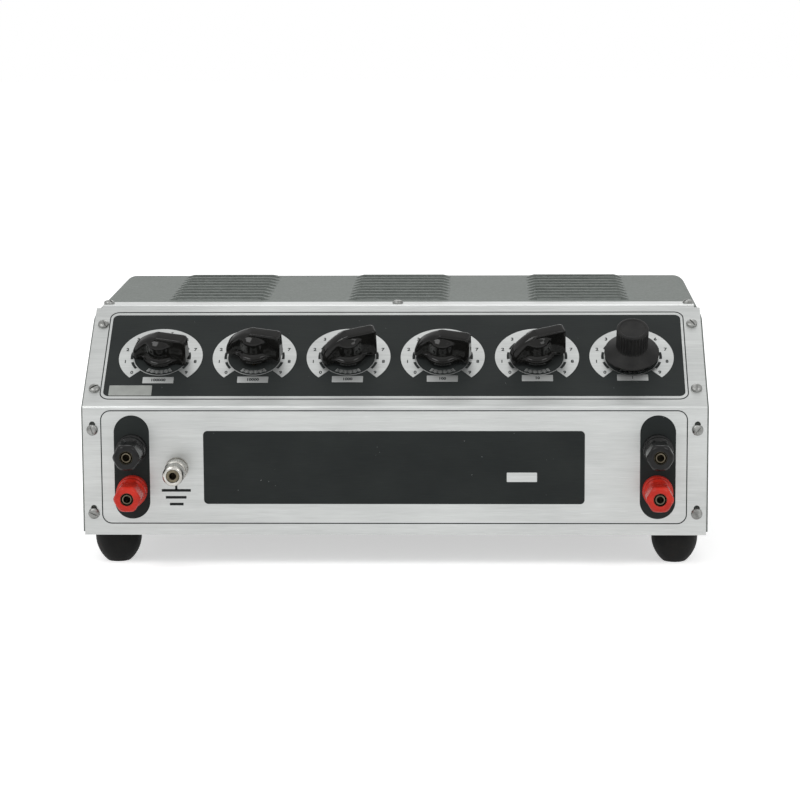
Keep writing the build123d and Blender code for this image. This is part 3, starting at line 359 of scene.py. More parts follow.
@dataclass(frozen=True)
class PrintInk:
    """Silk-screened ink over the brushed grain, with pinholes and rubbed streaks."""

    colour: Colour = (0.022, 0.025, 0.025)
    faded: Colour = (0.03, 0.034, 0.033)
    roughness: float = 0.46
    pinholes: float = 1.0
    specular: float = 0.06

    def material(self, name: str) -> bpy.types.Material:
        """Builds the finish under a name."""
        graph = Graph.named(name)
        grain = graph.noise(0.3, Lay.X.stretch(40.0))
        patch = graph.noise(22.0, Lay.X.stretch(1.5), 3.0)
        tone = (grain * 0.4 + patch * 0.6).between(0.35, 0.7)
        colour = graph.mix(tone, self.colour, self.faded)
        hole = graph.noise(1.1, detail=1.0).between(0.824, 0.84) * self.pinholes
        colour = graph.mix(hole, colour, (0.34, 0.35, 0.35))
        rough = patch * 0.22 + grain * 0.06 + (self.roughness - 0.14)
        normal = graph.bump(grain, 0.01)
        return graph.surface(
            Base_Color=colour, Roughness=rough, Normal=normal, Specular_IOR_Level=self.specular
        )


@dataclass(frozen=True)
class Moulding:
    """Moulded plastic or phenolic with dust, fine rubbing marks and slight colour drift."""

    colour: Colour
    drift: Colour
    roughness: float = 0.16
    texture: float = 0.3
    depth: float = 0.006
    coat: float = 0.0
    specular: float = 0.5

    def material(self, name: str) -> bpy.types.Material:
        """Builds the finish under a name."""
        graph = Graph.named(name)
        cloud = graph.noise(7.0, detail=3.0)
        fine = graph.noise(self.texture)
        rub = graph.noise(0.5, (9, 2, 1)).between(0.6, 0.72)
        colour = graph.mix(cloud.between(0.35, 0.7), self.colour, self.drift)
        rough = cloud * 0.1 + rub * 0.08 + (self.roughness - 0.05)
        normal = graph.bump(fine + rub * 0.3, self.depth)
        return graph.surface(
            Base_Color=colour, Roughness=rough, Normal=normal, Specular_IOR_Level=self.specular,
            Coat_Weight=self.coat, Coat_Roughness=0.08
        )


@dataclass(frozen=True)
class Plating:
    """Plated or plain small metal part with spots of tarnish and fine turning marks."""

    colour: Colour
    tarnish: Colour
    roughness: float = 0.24
    depth: float = 0.006

    def material(self, name: str) -> bpy.types.Material:
        """Builds the finish under a name."""
        graph = Graph.named(name)
        cloud = graph.noise(3.2, detail=4.0)
        mark = graph.noise(0.25, Lay.X.stretch(5.0))
        spot = graph.noise(0.8).between(0.68, 0.76)
        tone = (cloud * 0.7 + mark * 0.3).between(0.36, 0.68)
        colour = graph.mix(tone, self.tarnish, self.colour)
        colour = graph.mix(spot * 0.5, colour, self.tarnish)
        rough = cloud * 0.2 + spot * 0.15 + (self.roughness - 0.1)
        normal = graph.bump(mark, self.depth)
        return graph.surface(Base_Color=colour, Metallic=1.0, Roughness=rough, Normal=normal)


@dataclass(frozen=True)
class Laminate:
    """Paper or cloth laminate board with a woven grain."""

    colour: Colour = (0.16, 0.075, 0.03)
    shade: Colour = (0.085, 0.038, 0.016)

    def material(self, name: str) -> bpy.types.Material:
        """Builds the finish under a name."""
        graph = Graph.named(name)
        weft = graph.noise(0.5, Lay.Y.stretch(12.0))
        warp = graph.noise(0.5, Lay.Z.stretch(12.0))
        cloud = graph.noise(18.0, detail=3.0)
        tone = (weft * 0.4 + warp * 0.4 + cloud * 0.3).between(0.4, 0.7)
        colour = graph.mix(tone, self.shade, self.colour)
        normal = graph.bump(weft + warp, 0.02)
        return graph.surface(Base_Color=colour, Roughness=cloud * 0.2 + 0.3, Normal=normal)


FINISHES = {
    "panel_aluminium": BrushedSheet(),
    "cabinet_paint": HammeredPaint(),
    # lighter paint of the louvre plates: painted light over the shade inside the slots
    "louvre_painted_light": HammeredPaint((0.34, 0.365, 0.35), (0.26, 0.28, 0.268)),
    "black_print": PrintInk(),
    "label_paper": Moulding((0.33, 0.345, 0.325), (0.26, 0.27, 0.255), roughness=0.6, texture=0.4,
                            depth=0.01),
    "screw_steel": Plating((0.36, 0.365, 0.355), (0.17, 0.172, 0.165), roughness=0.42, depth=0.012),
    "rubber": Moulding((0.008, 0.008, 0.008), (0.014, 0.014, 0.013), roughness=0.62, texture=0.5, depth=0.05,
                       specular=0.15),
    "plated_brass": Plating((0.2, 0.175, 0.125), (0.085, 0.072, 0.05), roughness=0.34),
    "nickel": Plating((0.6, 0.59, 0.56), (0.36, 0.35, 0.32), roughness=0.26),
    "ceramic": Moulding((0.72, 0.7, 0.64), (0.62, 0.6, 0.54), roughness=0.34, texture=0.6, depth=0.01,
                        coat=0.2),
    "spring_steel": Plating((0.4, 0.41, 0.42), (0.26, 0.26, 0.26), roughness=0.3),
    "phenolic": Laminate(),
    "red_plastic": Moulding((0.62, 0.03, 0.016), (0.46, 0.02, 0.012), roughness=0.24, texture=0.5, depth=0.01,
                            specular=0.22),
    "black_plastic": Moulding((0.008, 0.008, 0.008), (0.014, 0.014, 0.014), roughness=0.2, texture=0.5,
                              depth=0.01, specular=0.2),
    "bakelite": Moulding((0.006, 0.006, 0.0055), (0.01, 0.0098, 0.009), roughness=0.08, texture=0.6,
                         depth=0.006, specular=0.22),
    "matte_knob": Moulding((0.011, 0.011, 0.011), (0.02, 0.02, 0.019), roughness=0.5, texture=0.22,
                           depth=0.02, specular=0.15),
    "enamel": Moulding((0.1, 0.085, 0.05), (0.06, 0.05, 0.03), roughness=0.2, texture=1.2, depth=0.03,
                       coat=0.4),
    "wire_insulation": Moulding((0.5, 0.4, 0.06), (0.4, 0.31, 0.05), roughness=0.4, texture=0.4, depth=0.01),
}


class Workshop:
    """Makes each finish once and hands it out."""

    def __init__(self) -> None:
        """Starts with no material made."""
        self.made: dict[str, bpy.types.Material] = {}

    def finish(self, name: str) -> bpy.types.Material:
        """The material of a finish by its name."""
        if name not in self.made:
            self.made[name] = FINISHES[name].material(name)
        return self.made[name]


@dataclass
class Shell:
    """Points and faces of a mesh while it is put together, in local millimetres or in metres."""

    points: np.ndarray
    faces: list[list[int]]

    def placed(self, place: Place) -> "Shell":
        """The shell in the row frame."""
        return Shell(place.to_row(self.points), self.faces)

    @staticmethod
    def joined(shells: Iterable["Shell"]) -> "Shell":
        """Several shells as one."""
        points, faces, start = [], [], 0
        for shell in shells:
            points.append(shell.points)
            faces += [[start + corner for corner in face] for face in shell.faces]
            start += len(shell.points)
        return Shell(np.vstack(points), faces)

    def piece(self, name: str, material: bpy.types.Material, body: str, slot: str,
              replaces: Sequence[str] = ()) -> bpy.types.Object:
        """Makes the shell a piece of the scene.

        Args:
            name: name of the piece.
            material: its finish.
            body: CAD body that it rides on.
            slot: material slot of the record; not used.
            replaces: CAD nodes that it stands for.

        Returns:
            The new object.
        """
        mesh = bpy.data.meshes.new(name)
        mesh.from_pydata(self.points.tolist(), [], self.faces)
        work = bmesh.new()
        work.from_mesh(mesh)
        bmesh.ops.remove_doubles(work, verts=work.verts, dist=MERGE_DISTANCE)
        bmesh.ops.dissolve_degenerate(work, edges=work.edges, dist=MERGE_DISTANCE)
        bmesh.ops.recalc_face_normals(work, faces=work.faces)
        work.to_mesh(mesh)
        work.free()
        mesh.polygons.foreach_set("use_smooth", np.ones(len(mesh.polygons), bool))
        mesh.set_sharp_from_angle(angle=SHARP_ANGLE)
        mesh.materials.append(material)
        made = bpy.data.objects.new(name, mesh)
        bpy.context.scene.collection.objects.link(made)
        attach(made, body)
        if replaces:
            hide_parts(*replaces)
        LOG.info("piece %s: %d faces on %s", name, len(mesh.polygons), body)
        return made


def lattice(points: np.ndarray, around: bool = True, along: bool = False, capped: bool = False) -> Shell:
    """Faces over a grid of points.

    Args:
        points: rows by columns by 3.
        around: the last column joins the first.
        along: the last row joins the first.
        capped: the first and the last row are each closed towards their middle point.

    Returns:
        The grid as a shell.
    """
    rows, columns = points.shape[:2]
    index = np.arange(rows * columns).reshape(rows, columns)
    index = np.hstack([index, index[:, :1]]) if around else index
    index = np.vstack([index, index[:1]]) if along else index
    quads = np.stack([index[:-1, :-1], index[:-1, 1:], index[1:, 1:], index[1:, :-1]], -1)
    faces = quads.reshape(-1, 4).tolist()
    flat = points.reshape(-1, 3)
    if capped:
        for row in (0, -1):
            middle = len(flat)
            flat = np.vstack([flat, points[row].mean(0)])
            faces += [[a, b, middle] for a, b in zip(index[row][:-1].tolist(), index[row][1:].tolist())]
    return Shell(flat, faces)


def rings(radius: np.ndarray, height: np.ndarray, angle: np.ndarray) -> np.ndarray:
    """Grid of points round the local Z axis: x = radius sin(angle), y = radius cos(angle), z = height.

    Args:
        radius: rows by columns, or rows by 1 for a round part.
        height: one height for each row.
        angle: one clockwise angle from local Y for each column.

    Returns:
        Rows by columns by 3.
    """
    radius = np.broadcast_to(radius, (len(height), len(angle)))
    heights = np.broadcast_to(np.asarray(height)[:, None], radius.shape)
    return np.stack([radius * np.sin(angle), radius * np.cos(angle), heights], -1)


def spin(angle: float) -> np.ndarray:
    """Matrix that turns rows of points clockwise about the local Z axis, in radians."""
    cosine, sine = math.cos(angle), math.sin(angle)
    return np.array([[cosine, -sine, 0], [sine, cosine, 0], [0, 0, 1]])


def turned(profile: Sequence[Span], count: int = 48) -> np.ndarray:
    """Grid of a round part from its (radius, height) profile."""
    line = np.array(profile, float)
    angle = np.linspace(0, 2 * math.pi, count, endpoint=False)
    return rings(line[:, :1], line[:, 1], angle)


def smooth_max(a: np.ndarray, b: np.ndarray, blend: float) -> np.ndarray:
    """Larger of two radii with a fillet: max plus a quarter of the squared overlap of the blend."""
    overlap = np.maximum(blend - np.abs(a - b), 0)
    return np.maximum(a, b) + overlap ** 2 / (4 * blend)


def rounded_outline(low: Span, high: Span, radius: float,
                    per_corner: int = 10) -> np.ndarray:
    """Closed outline of a rectangle with round corners: a quarter circle at each corner in turn."""
    turn = np.linspace(0, math.pi / 2, per_corner)
    parts = []
    corners = ((high[0], high[1], 0), (low[0], high[1], 1), (low[0], low[1], 2), (high[0], low[1], 3))
    for x, y, quarter in corners:
        sign_x = 1 if x == high[0] else -1
        sign_y = 1 if y == high[1] else -1
        angle = turn + quarter * math.pi / 2
        centre = np.array([x - sign_x * radius, y - sign_y * radius])
        parts.append(centre + radius * np.stack([np.cos(angle), np.sin(angle)], -1))
    return np.vstack(parts)


def lifted(outline: np.ndarray, height: float) -> np.ndarray:
    """Flat outline as points at one height."""
    return np.column_stack([outline, np.full(len(outline), height)])


def plate(outline: np.ndarray, low: float, high: float) -> Shell:
    """Closed thin plate inside an outline that sees its own middle."""
    return lattice(np.stack([lifted(outline, low), lifted(outline, high)]), capped=True)


def band(outer: np.ndarray, inner: np.ndarray, low: float, high: float) -> Shell:
    """Closed thin frame between two outlines with as many points."""
    loop = [lifted(outer, low), lifted(outer, high), lifted(inner, high), lifted(inner, low)]
    return lattice(np.stack(loop), along=True)


def arc_band(inner: float, outer: float, start: float, end: float, low: float, high: float,
             step: float = 2.0) -> Shell:
    """Closed thin arc between two radii and two clockwise angles in degrees.

    Each section is the rectangle of the two radii and two heights, carried along the angle.
    """
    count = max(2, int(abs(end - start) / step) + 1)
    angle = np.radians(np.linspace(start, end, count))
    corners = np.array([(inner, low), (outer, low), (outer, high), (inner, high)])
    radius = corners[None, :, 0]
    x = radius * np.sin(angle)[:, None]
    y = radius * np.cos(angle)[:, None]
    z = np.broadcast_to(corners[None, :, 1], x.shape)
    return lattice(np.stack([x, y, z], -1), capped=True)


def lettering(text: str, size: float, low: float, high: float, middle: Span) -> Shell:
    """Plain figures as a closed flat mesh.

    Args:
        text: the figures.
        size: height of a line in millimetres.
        low: underside of the ink.
        high: top of the ink.
        middle: local point that the figures are centred on.

    Returns:
        The figures as a shell.
    """
    curve = bpy.data.curves.new("figures", "FONT")
    curve.body = text
    curve.size = size
    curve.align_x, curve.align_y = "CENTER", "CENTER"
    curve.resolution_u = 3
    curve.extrude = (high - low) / 2
    curve.offset = STROKE_GAIN
    holder = bpy.data.objects.new("figures", curve)
    bpy.context.scene.collection.objects.link(holder)
    bpy.context.view_layer.update()
    mesh = bpy.data.meshes.new_from_object(holder.evaluated_get(bpy.context.evaluated_depsgraph_get()))
    points = np.empty(len(mesh.vertices) * 3)
    mesh.vertices.foreach_get("co", points)
    faces = [list(face.vertices) for face in mesh.polygons]
    bpy.data.objects.remove(holder)
    bpy.data.curves.remove(curve)
    bpy.data.meshes.remove(mesh)
    shift = np.array([middle[0], middle[1], (low + high) / 2])
    return Shell(points.reshape(-1, 3) + shift, faces)


@dataclass
class PrintedPanel:
    """Silk-screened print on the sloping and the upright face."""

    box: Box
    shop: Workshop
    ink: float = 0.05
    light: float = 0.1
    mark: float = 0.15
    slope_outer: Extent = (-164.9, 163.8, 6.1, 79.9)
    slope_line: Span = (0.6, 0.7)
    slope_gap: Span = (1.3, 2.1)
    slope_corner: float = 5.4
    ring_outer: float = 23.7
    ring_inner: float = 15.0
    ring_span: float = 136.5
    dash_inner: float = 15.6
    dash_outer: float = 17.1
    dash_span: float = 20.0
    number_orbit: float = 20.2
    number_size: float = 3.3
    value_size: float = 2.805
    closing_width: float = 0.5
    tick_inner: float = 11.2
    tick_outer: Span = (13.6, 13.9)
    tick_half_angle: Span = (1.1, 2.2)
    tick_span: Span = (150.0, 210.0)
    tick_count: int = 16
    tag_size: Span = (17.4, 5.1)
    tag_height: float = 23.0
    tag_climb: float = 0.0075
    face_outer: Extent = (-163.7, 162.8, 6.3, 70.7)
    face_corner: float = 5.6
    face_line: float = 0.6
    strip_offset: float = 146.4
    strip_width: float = 19.8
    strip_span: Span = (9.2, 67.8)
    plate_field: Extent = (-106.4, 105.9, 17.6, 59.0)
    plate_corner: float = 2.4
    plate_window: Extent = (62.6, 79.4, 30.2, 35.5)
    sticker: Extent = (-159.9, -135.9, 9.3, 17.6)
    ground_sign: tuple[Extent, ...] = ((-130.0, -113.7, 24.55, 26.05), (-127.8, -116.2, 20.6, 22.1),
                                       (-125.6, -117.9, 16.75, 18.25), (-122.5, -121.2, 25.5, 29.0))

    def fixed(self, name: str, parts: list[Shell], finish: str) -> None:
        """Makes placed parts one print on the panel."""
        Shell.joined(parts).piece(name, self.shop.finish(finish), "cabinet", "panel_aluminium")

    def framed(self, outer: Sequence[float], inset: Span, corner: float) -> np.ndarray:
        """Outline of a frame moved inwards by an inset along each direction."""
        low = (outer[0] + inset[0], outer[2] + inset[1])
        high = (outer[1] - inset[0], outer[3] - inset[1])
        return rounded_outline(low, high, max(corner - inset[0], 0.3))

    def slope_prints(self) -> None:
        """Outline and black field of the sloping face."""
        outer = self.framed(self.slope_outer, (0, 0), self.slope_corner)
        inner = self.framed(self.slope_outer, self.slope_line, self.slope_corner)
        inset = (self.slope_line[0] + self.slope_gap[0], self.slope_line[1] + self.slope_gap[1])
        field = self.framed(self.slope_outer, inset, self.slope_corner)
        parts = [band(outer, inner, 0, self.ink), plate(field, 0, self.ink)]
        self.fixed("slope_print", [part.placed(self.box.slope) for part in parts], "black_print")

    def scale(self) -> list[Shell]:
        """Light parts of one dial: the ring, the thin arc that closes it and the ticks under the knob."""
        low, high, span = self.ink / 2, self.light, self.ring_span
        closing = self.ring_inner + self.closing_width
        parts = [arc_band(self.ring_inner, self.ring_outer, -span, span, low, high),
                 arc_band(self.ring_inner, closing, span, 360 - span, low, high)]
        for number, angle in enumerate(np.linspace(*self.tick_span, self.tick_count)):
            major = int(number % 3 == 0)
            ends = (angle - self.tick_half_angle[major], angle + self.tick_half_angle[major])
            parts.append(arc_band(self.tick_inner, self.tick_outer[major], *ends, low, high))
        return parts

    def figures(self) -> list[Shell]:
        """Dark parts of one dial: nine dashes between ten figures."""
        parts = []
        for gap in range(9):
            middle = math.degrees(self.box.dial_angle(gap + 0.5))
            ends = (middle - self.dash_span / 2, middle + self.dash_span / 2)
            parts.append(arc_band(self.dash_inner, self.dash_outer, *ends, self.ink, self.mark))
        for number in range(10):
            angle = self.box.dial_angle(number)
            middle = (self.number_orbit * math.sin(angle), self.number_orbit * math.cos(angle))
            parts.append(lettering(str(number), self.number_size, self.ink, self.mark, middle))
        return parts

    def tag(self, index: int) -> tuple[Shell, Shell]:
        """Light tag under a dial, and the value of one step on it."""
        middle = self.tag_height + self.tag_climb * self.box.dial_x(index) - self.box.dial_height
        half_x, half_y = self.tag_size[0] / 2, self.tag_size[1] / 2
        outline = rounded_outline((-half_x, middle - half_y), (half_x, middle + half_y), 0.25, 3)
        value = str(10 ** (self.box.dial_count - 1 - index))
        figure = lettering(value, self.value_size, self.ink, self.mark, (0, middle))
        return plate(outline, self.ink / 2, self.light), figure

    def dial_prints(self) -> None:
        """Scale, figures and tag of each dial."""
        light, dark = [], []
        scale, figures = self.scale(), self.figures()
        for index in range(self.box.dial_count):
            place = self.box.slope.at(self.box.dial_x(index), self.box.dial_height)
            plain, value = self.tag(index)
            light += [part.placed(place) for part in (*scale, plain)]
            dark += [part.placed(place) for part in (*figures, value)]
        self.fixed("dial_scales", light, "panel_aluminium")
        self.fixed("dial_figures", dark, "black_print")

    def face_prints(self) -> None:
        """Thin outline, post fields, large bare field and the ground sign of the upright face."""
        outer = self.framed(self.face_outer, (0, 0), self.face_corner)
        inner = self.framed(self.face_outer, (self.face_line, self.face_line), self.face_corner)
        parts = [band(outer, inner, 0, self.ink)]
        half = self.strip_width / 2
        for side in (-1, 1):
            centre = side * self.strip_offset
            low, high = self.strip_span
            outline = rounded_outline((centre - half, low), (centre + half, high), half - 0.01, 20)
            parts.append(plate(outline, 0, self.ink))
        parts.append(plate(self.framed(self.plate_field, (0, 0), self.plate_corner), 0, self.ink))
        for left, right, low, high in self.ground_sign:
            parts.append(plate(rounded_outline((left, low), (right, high), 0.2, 3), 0, self.ink))
        self.fixed("face_print", [part.placed(self.box.face) for part in parts], "black_print")
        window = plate(self.framed(self.plate_window, (0, 0), 0.4), self.ink / 2, self.light)
        self.fixed("serial_window", [window.placed(self.box.face)], "panel_aluminium")

    def label(self) -> None:
        """Bare paper label at the lower left of the sloping field."""
        outline = self.framed(self.sticker, (0, 0), 0.5)
        shell = plate(outline, self.ink / 2, self.mark).placed(self.box.slope)
        self.fixed("bare_label", [shell], "label_paper")

    def build(self) -> None:
        """Makes every print."""
        self.slope_prints()
        self.dial_prints()
        self.face_prints()
        self.label()


@dataclass
class KnobCavity:
    """Recesses and shaft bore under a knob; the heights count from the panel."""

    lift: float
    nut_radius: float = 7.6
    nut_top: float = 2.6
    bushing_radius: float = 5.1
    bushing_top: float = 6.2
    bore_radius: float = 3.205
    bore_top: float = 13.3

    def line(self) -> list[Span]:
        """(radius, height) points from the bore's end out to the underside."""
        step = max(self.nut_top, self.lift + 0.2)
        return [(self.bore_radius, self.bore_top), (self.bore_radius, self.bushing_top),
                (self.bushing_radius, self.bushing_top), (self.bushing_radius, step),
                (self.nut_radius, step), (self.nut_radius, self.lift)]


@dataclass
class PointerKnob:
    """Moulded bar knob: round skirt, hollow flare, domed boss and a bar across the whole width."""

    cavity: KnobCavity
    skirt_radius: float = 10.1
    rim_top: float = 2.4
    edge: float = 0.35
    boss_radius: float = 7.4
    boss_foot: float = 5.4
    boss_top: float = 11.0
    dome_top: float = 14.3
    reach: float = 15.9
    tail: float = 16.0
    half_width: float = 4.7
    half_width_top: float = 3.3
    top: float = 16.1
    nose_round: float = 1.9
    side_round: float = 0.9
    nose_corner: float = 1.3
    tail_corner: float = 3.0
    crown: float = 0.12
    blend: float = 2.2
    columns: int = 240

    def heights(self) -> tuple[np.ndarray, np.ndarray]:
        """Heights of the rows over the underside, and the share of the outline kept at each."""
        quarter = np.linspace(0, math.pi / 2, 12)
        low = np.array([0, 0.1, self.edge, 1.2, self.rim_top - self.edge])
        rim = self.rim_top - self.edge * (1 - np.sin(quarter[1::3]))
        flare = self.boss_foot - (self.boss_foot - self.rim_top) * np.cos(quarter[1:])
        wall = np.linspace(self.boss_foot, self.boss_top, 8)[1:]
        dome = self.boss_top + (self.dome_top - self.boss_top) * np.sin(quarter[1:])
        nose = self.top - self.nose_round * (1 - np.sin(np.linspace(0.05, math.pi / 2, 16)))
        rows = np.unique(np.concatenate([low, rim, flare, wall, dome, nose]).round(4))
        inward = np.array([0.9, 0.75, 0.5, 0.25])
        share = np.concatenate([np.ones(len(rows)), inward])
        return np.concatenate([rows, self.top + self.crown * (1 - inward ** 2)]), share

    def body_radius(self, height: np.ndarray) -> np.ndarray:
        """Radius of the round body: rim with small edges, quarter-ellipse flare, boss, elliptic dome."""
        def rounded(beyond: np.ndarray, size: float) -> np.ndarray:
            share = np.clip(beyond / size, 0, 1)
            return size * (1 - np.sqrt(1 - share ** 2))

        rim = self.skirt_radius - rounded(self.edge - height, self.edge)
        rim = rim - rounded(height - self.rim_top + self.edge, self.edge)
        wide = self.skirt_radius - self.edge - self.boss_radius
        climb = np.clip((height - self.rim_top) / (self.boss_foot - self.rim_top), 0, 1)
        flare = self.boss_radius + wide * (1 - np.sqrt(1 - (1 - climb) ** 2))
        rise = np.clip((height - self.boss_top) / (self.dome_top - self.boss_top), 0, 1)
        return np.where(height <= self.rim_top, rim, flare) * np.sqrt(1 - rise ** 2)

    def bar_radius(self, height: np.ndarray, angle: np.ndarray) -> np.ndarray:
        """Distance from the axis to the bar's outline, a rectangle with round corners.

        The nose is upright and rounds off under the top. The back falls as
        tail (1 - (height / top) ** 2) ** (2 / 3).
        """
        rise = np.clip(height / self.top, 0, 1)
        over = np.clip((height - self.top + self.nose_round) / self.nose_round, 0, 1)
        nose = self.reach - self.nose_round * (1 - np.sqrt(1 - over ** 2))
        back = np.maximum(self.tail * (1 - rise ** 2) ** (2 / 3), 1.2)
        over = np.clip((height - self.top + self.side_round) / self.side_round, 0, 1)
        half = self.half_width + (self.half_width_top - self.half_width) * rise
        half = (half - self.side_round * (1 - np.sqrt(1 - over ** 2)))[:, None]
        ahead = np.cos(angle) > 0
        long = np.where(ahead, nose[:, None], back[:, None])
        corner = np.where(ahead, self.nose_corner, np.minimum(self.tail_corner, 0.7 * back)[:, None])
        corner = np.minimum(corner, 0.9 * half)
        across = np.maximum(np.abs(np.sin(angle)), 1e-9)
        along = np.maximum(np.abs(np.cos(angle)), 1e-9)
        side, end = half / across, long / along
        middle = (half - corner) * across + (long - corner) * along
        gap = (half - corner) ** 2 + (long - corner) ** 2 - corner ** 2
        arc = middle + np.sqrt(np.maximum(middle ** 2 - gap, 0))
        straight = np.where(side * along <= long - corner, side, end)
        return np.where((side * along > long - corner) & (end * across > half - corner), arc, straight)

    def shell(self) -> Shell:
        """Closed surface from the bore's end over the underside, rim, bar and dome."""
        spread = np.linspace(-1, 1, self.columns, endpoint=False)
        angle = math.pi * (spread - 0.14 * np.sin(2 * math.pi * spread))
        height, share = self.heights()
        level = np.minimum(height, self.top)
        body = self.body_radius(level)[:, None] * np.ones(len(angle))
        bar = self.bar_radius(level, angle)
        radius = np.where(body > 0.01, smooth_max(body, bar, self.blend), bar) * share[:, None]
        under = np.array(self.cavity.line())
        inner = rings(under[:, :1], under[:, 1], angle)
        outer = rings(radius, height + self.cavity.lift, angle)
        return lattice(np.concatenate([inner, outer]), capped=True)


@dataclass
class FlutedKnob:
    """Round fluted cap on a wide conical skirt."""

    cavity: KnobCavity
    skirt_radius: float = 15.4
    skirt_rim: float = 1.0
    cap_radius: float = 9.0
    shoulder: float = 7.6
    top: float = 21.4
    edge_round: float = 0.9
    flutes: int = 30
    flute_depth: float = 0.6
    samples: int = 8

    def shell(self) -> Shell:
        """Closed surface; the flutes are a cosine of the angle that fades out under the top."""
        lift = self.cavity.lift
        angle = np.linspace(0, 2 * math.pi, self.flutes * self.samples, endpoint=False)
        skirt = [(self.skirt_radius - 0.2, lift), (self.skirt_radius, lift + 0.2),
                 (self.skirt_radius, lift + self.skirt_rim)]
        share = np.linspace(0, 1, 8)[1:]
        run = self.skirt_radius - self.cap_radius - 0.3
        rim = lift + self.skirt_rim
        climb = self.shoulder - rim
        skirt += [(self.skirt_radius - run * s, rim + climb * (0.8 * s + 0.2 * s * s)) for s in share]
        cap = [(self.cap_radius + 0.1, self.shoulder + 0.15), (self.cap_radius, self.shoulder + 0.5)]
        cap += [(self.cap_radius, h) for h in np.linspace(self.shoulder + 1, self.top - 2.4, 4)]
        turn = np.linspace(0, math.pi / 2, 7)[1:]
        edge = self.edge_round
        bend = [(edge * (1 - math.cos(a)), edge * (1 - math.sin(a))) for a in turn]
        cap += [(self.cap_radius - inset, self.top - drop) for inset, drop in bend]
        flat = [(self.cap_radius - 1.6, self.top - 0.02), (self.cap_radius - 1.9, self.top - 0.25),
                (3.0, self.top - 0.3)]
        line = np.array(self.cavity.line() + skirt + cap + flat)
        height = line[:, 1]
        fade = np.clip((height - self.shoulder - 0.2) / 0.5, 0, 1)
        fade *= np.clip((self.top - edge - height) / 1.2, 0, 1)
        fade[line[:, 0] < self.cap_radius - 0.01] = 0
        wave = (0.5 - 0.5 * np.cos(self.flutes * angle)) ** 0.7
        radius = line[:, :1] - self.flute_depth * fade[:, None] * wave
        return lattice(rings(radius, height, angle), capped=True)


@dataclass
class Dials:
    """The six knobs in their rest positions."""

    box: Box
    shop: Workshop

    def build(self) -> None:
        """Makes each knob about its own axis, turned to its rest position."""
        for index, rest in enumerate(self.box.rest_positions):
            cavity = KnobCavity(self.box.knob_lifts[index])
            last = index == self.box.dial_count - 1
            shell = FlutedKnob(cavity).shell() if last else PointerKnob(cavity).shell()
            finish = "matte_knob" if last else "bakelite"
            turn = spin(self.box.dial_angle(rest))
            place = self.box.slope.at(self.box.dial_x(index), self.box.dial_height)
            knob = Shell(shell.points @ turn, shell.faces).placed(place)
            number = index + 1
            knob.piece(f"control_knob_{number}", self.shop.finish(finish), f"dial_{number}", finish,
                       (f"knob_{number}",))


@dataclass
class SignalCap:
    """Insulated thumb nut: round flange and a rounded hexagon with a bevelled nose."""

    seat: float = 6.5
    flange_radius: float = 8.2
    flange_height: float = 4.5
    apothem: float = 7.0
    reach: float = 28.0
    nose: float = 1.6
    bore_radius: float = 3.65
    pocket_radius: float = 5.03
    pocket_top: float = 18.33
    columns: int = 96

    def shell(self) -> Shell:
        """Closed tube: the outside is the smaller of a rounded hexagon and a nose cone."""
        angle = np.linspace(0, 2 * math.pi, self.columns, endpoint=False)
        sides = np.stack([np.maximum(np.cos(angle - k * math.pi / 3), 0) for k in range(6)])
        hexagon = self.apothem * (sides ** 26).sum(0) ** (-1 / 26)
        flange_top = self.seat + self.flange_height
        round_rows = [(self.flange_radius - 0.3, self.seat), (self.flange_radius, self.seat + 0.3),
                      (self.flange_radius, flange_top - 1.1), (self.flange_radius - 0.35, flange_top - 0.55)]
        rows = [np.full(self.columns, r) for r, _ in round_rows]
        heights = [h for _, h in round_rows]
        rows.append(np.maximum(hexagon, self.apothem + 0.1) + 0.15)
        heights.append(flange_top)
        body = np.concatenate([[flange_top + 0.4], np.linspace(flange_top + 1, self.reach - self.nose - 1, 3),
                               np.linspace(self.reach - self.nose, self.reach - 0.3, 6)])
        for height in body:
            cone = self.apothem + 0.55 - np.clip(height - (self.reach - self.nose), 0, None) * 0.9
            rows.append(-smooth_max(-hexagon, np.full(self.columns, -cone), 0.5))
            heights.append(height)
        for inset, height in ((1.75, self.reach - 0.08), (2.05, self.reach)):
            rows.append(np.minimum(hexagon, self.apothem + 0.55) - inset)
            heights.append(height)
        inside = [(self.bore_radius + 0.25, self.reach), (self.bore_radius, self.reach - 0.25),
                  (self.bore_radius, self.pocket_top), (self.pocket_radius, self.pocket_top),
                  (self.pocket_radius, self.seat)]
        rows += [np.full(self.columns, r) for r, _ in inside]
        heights += [h for _, h in inside]
        return lattice(rings(np.stack(rows), np.array(heights), angle), along=True)


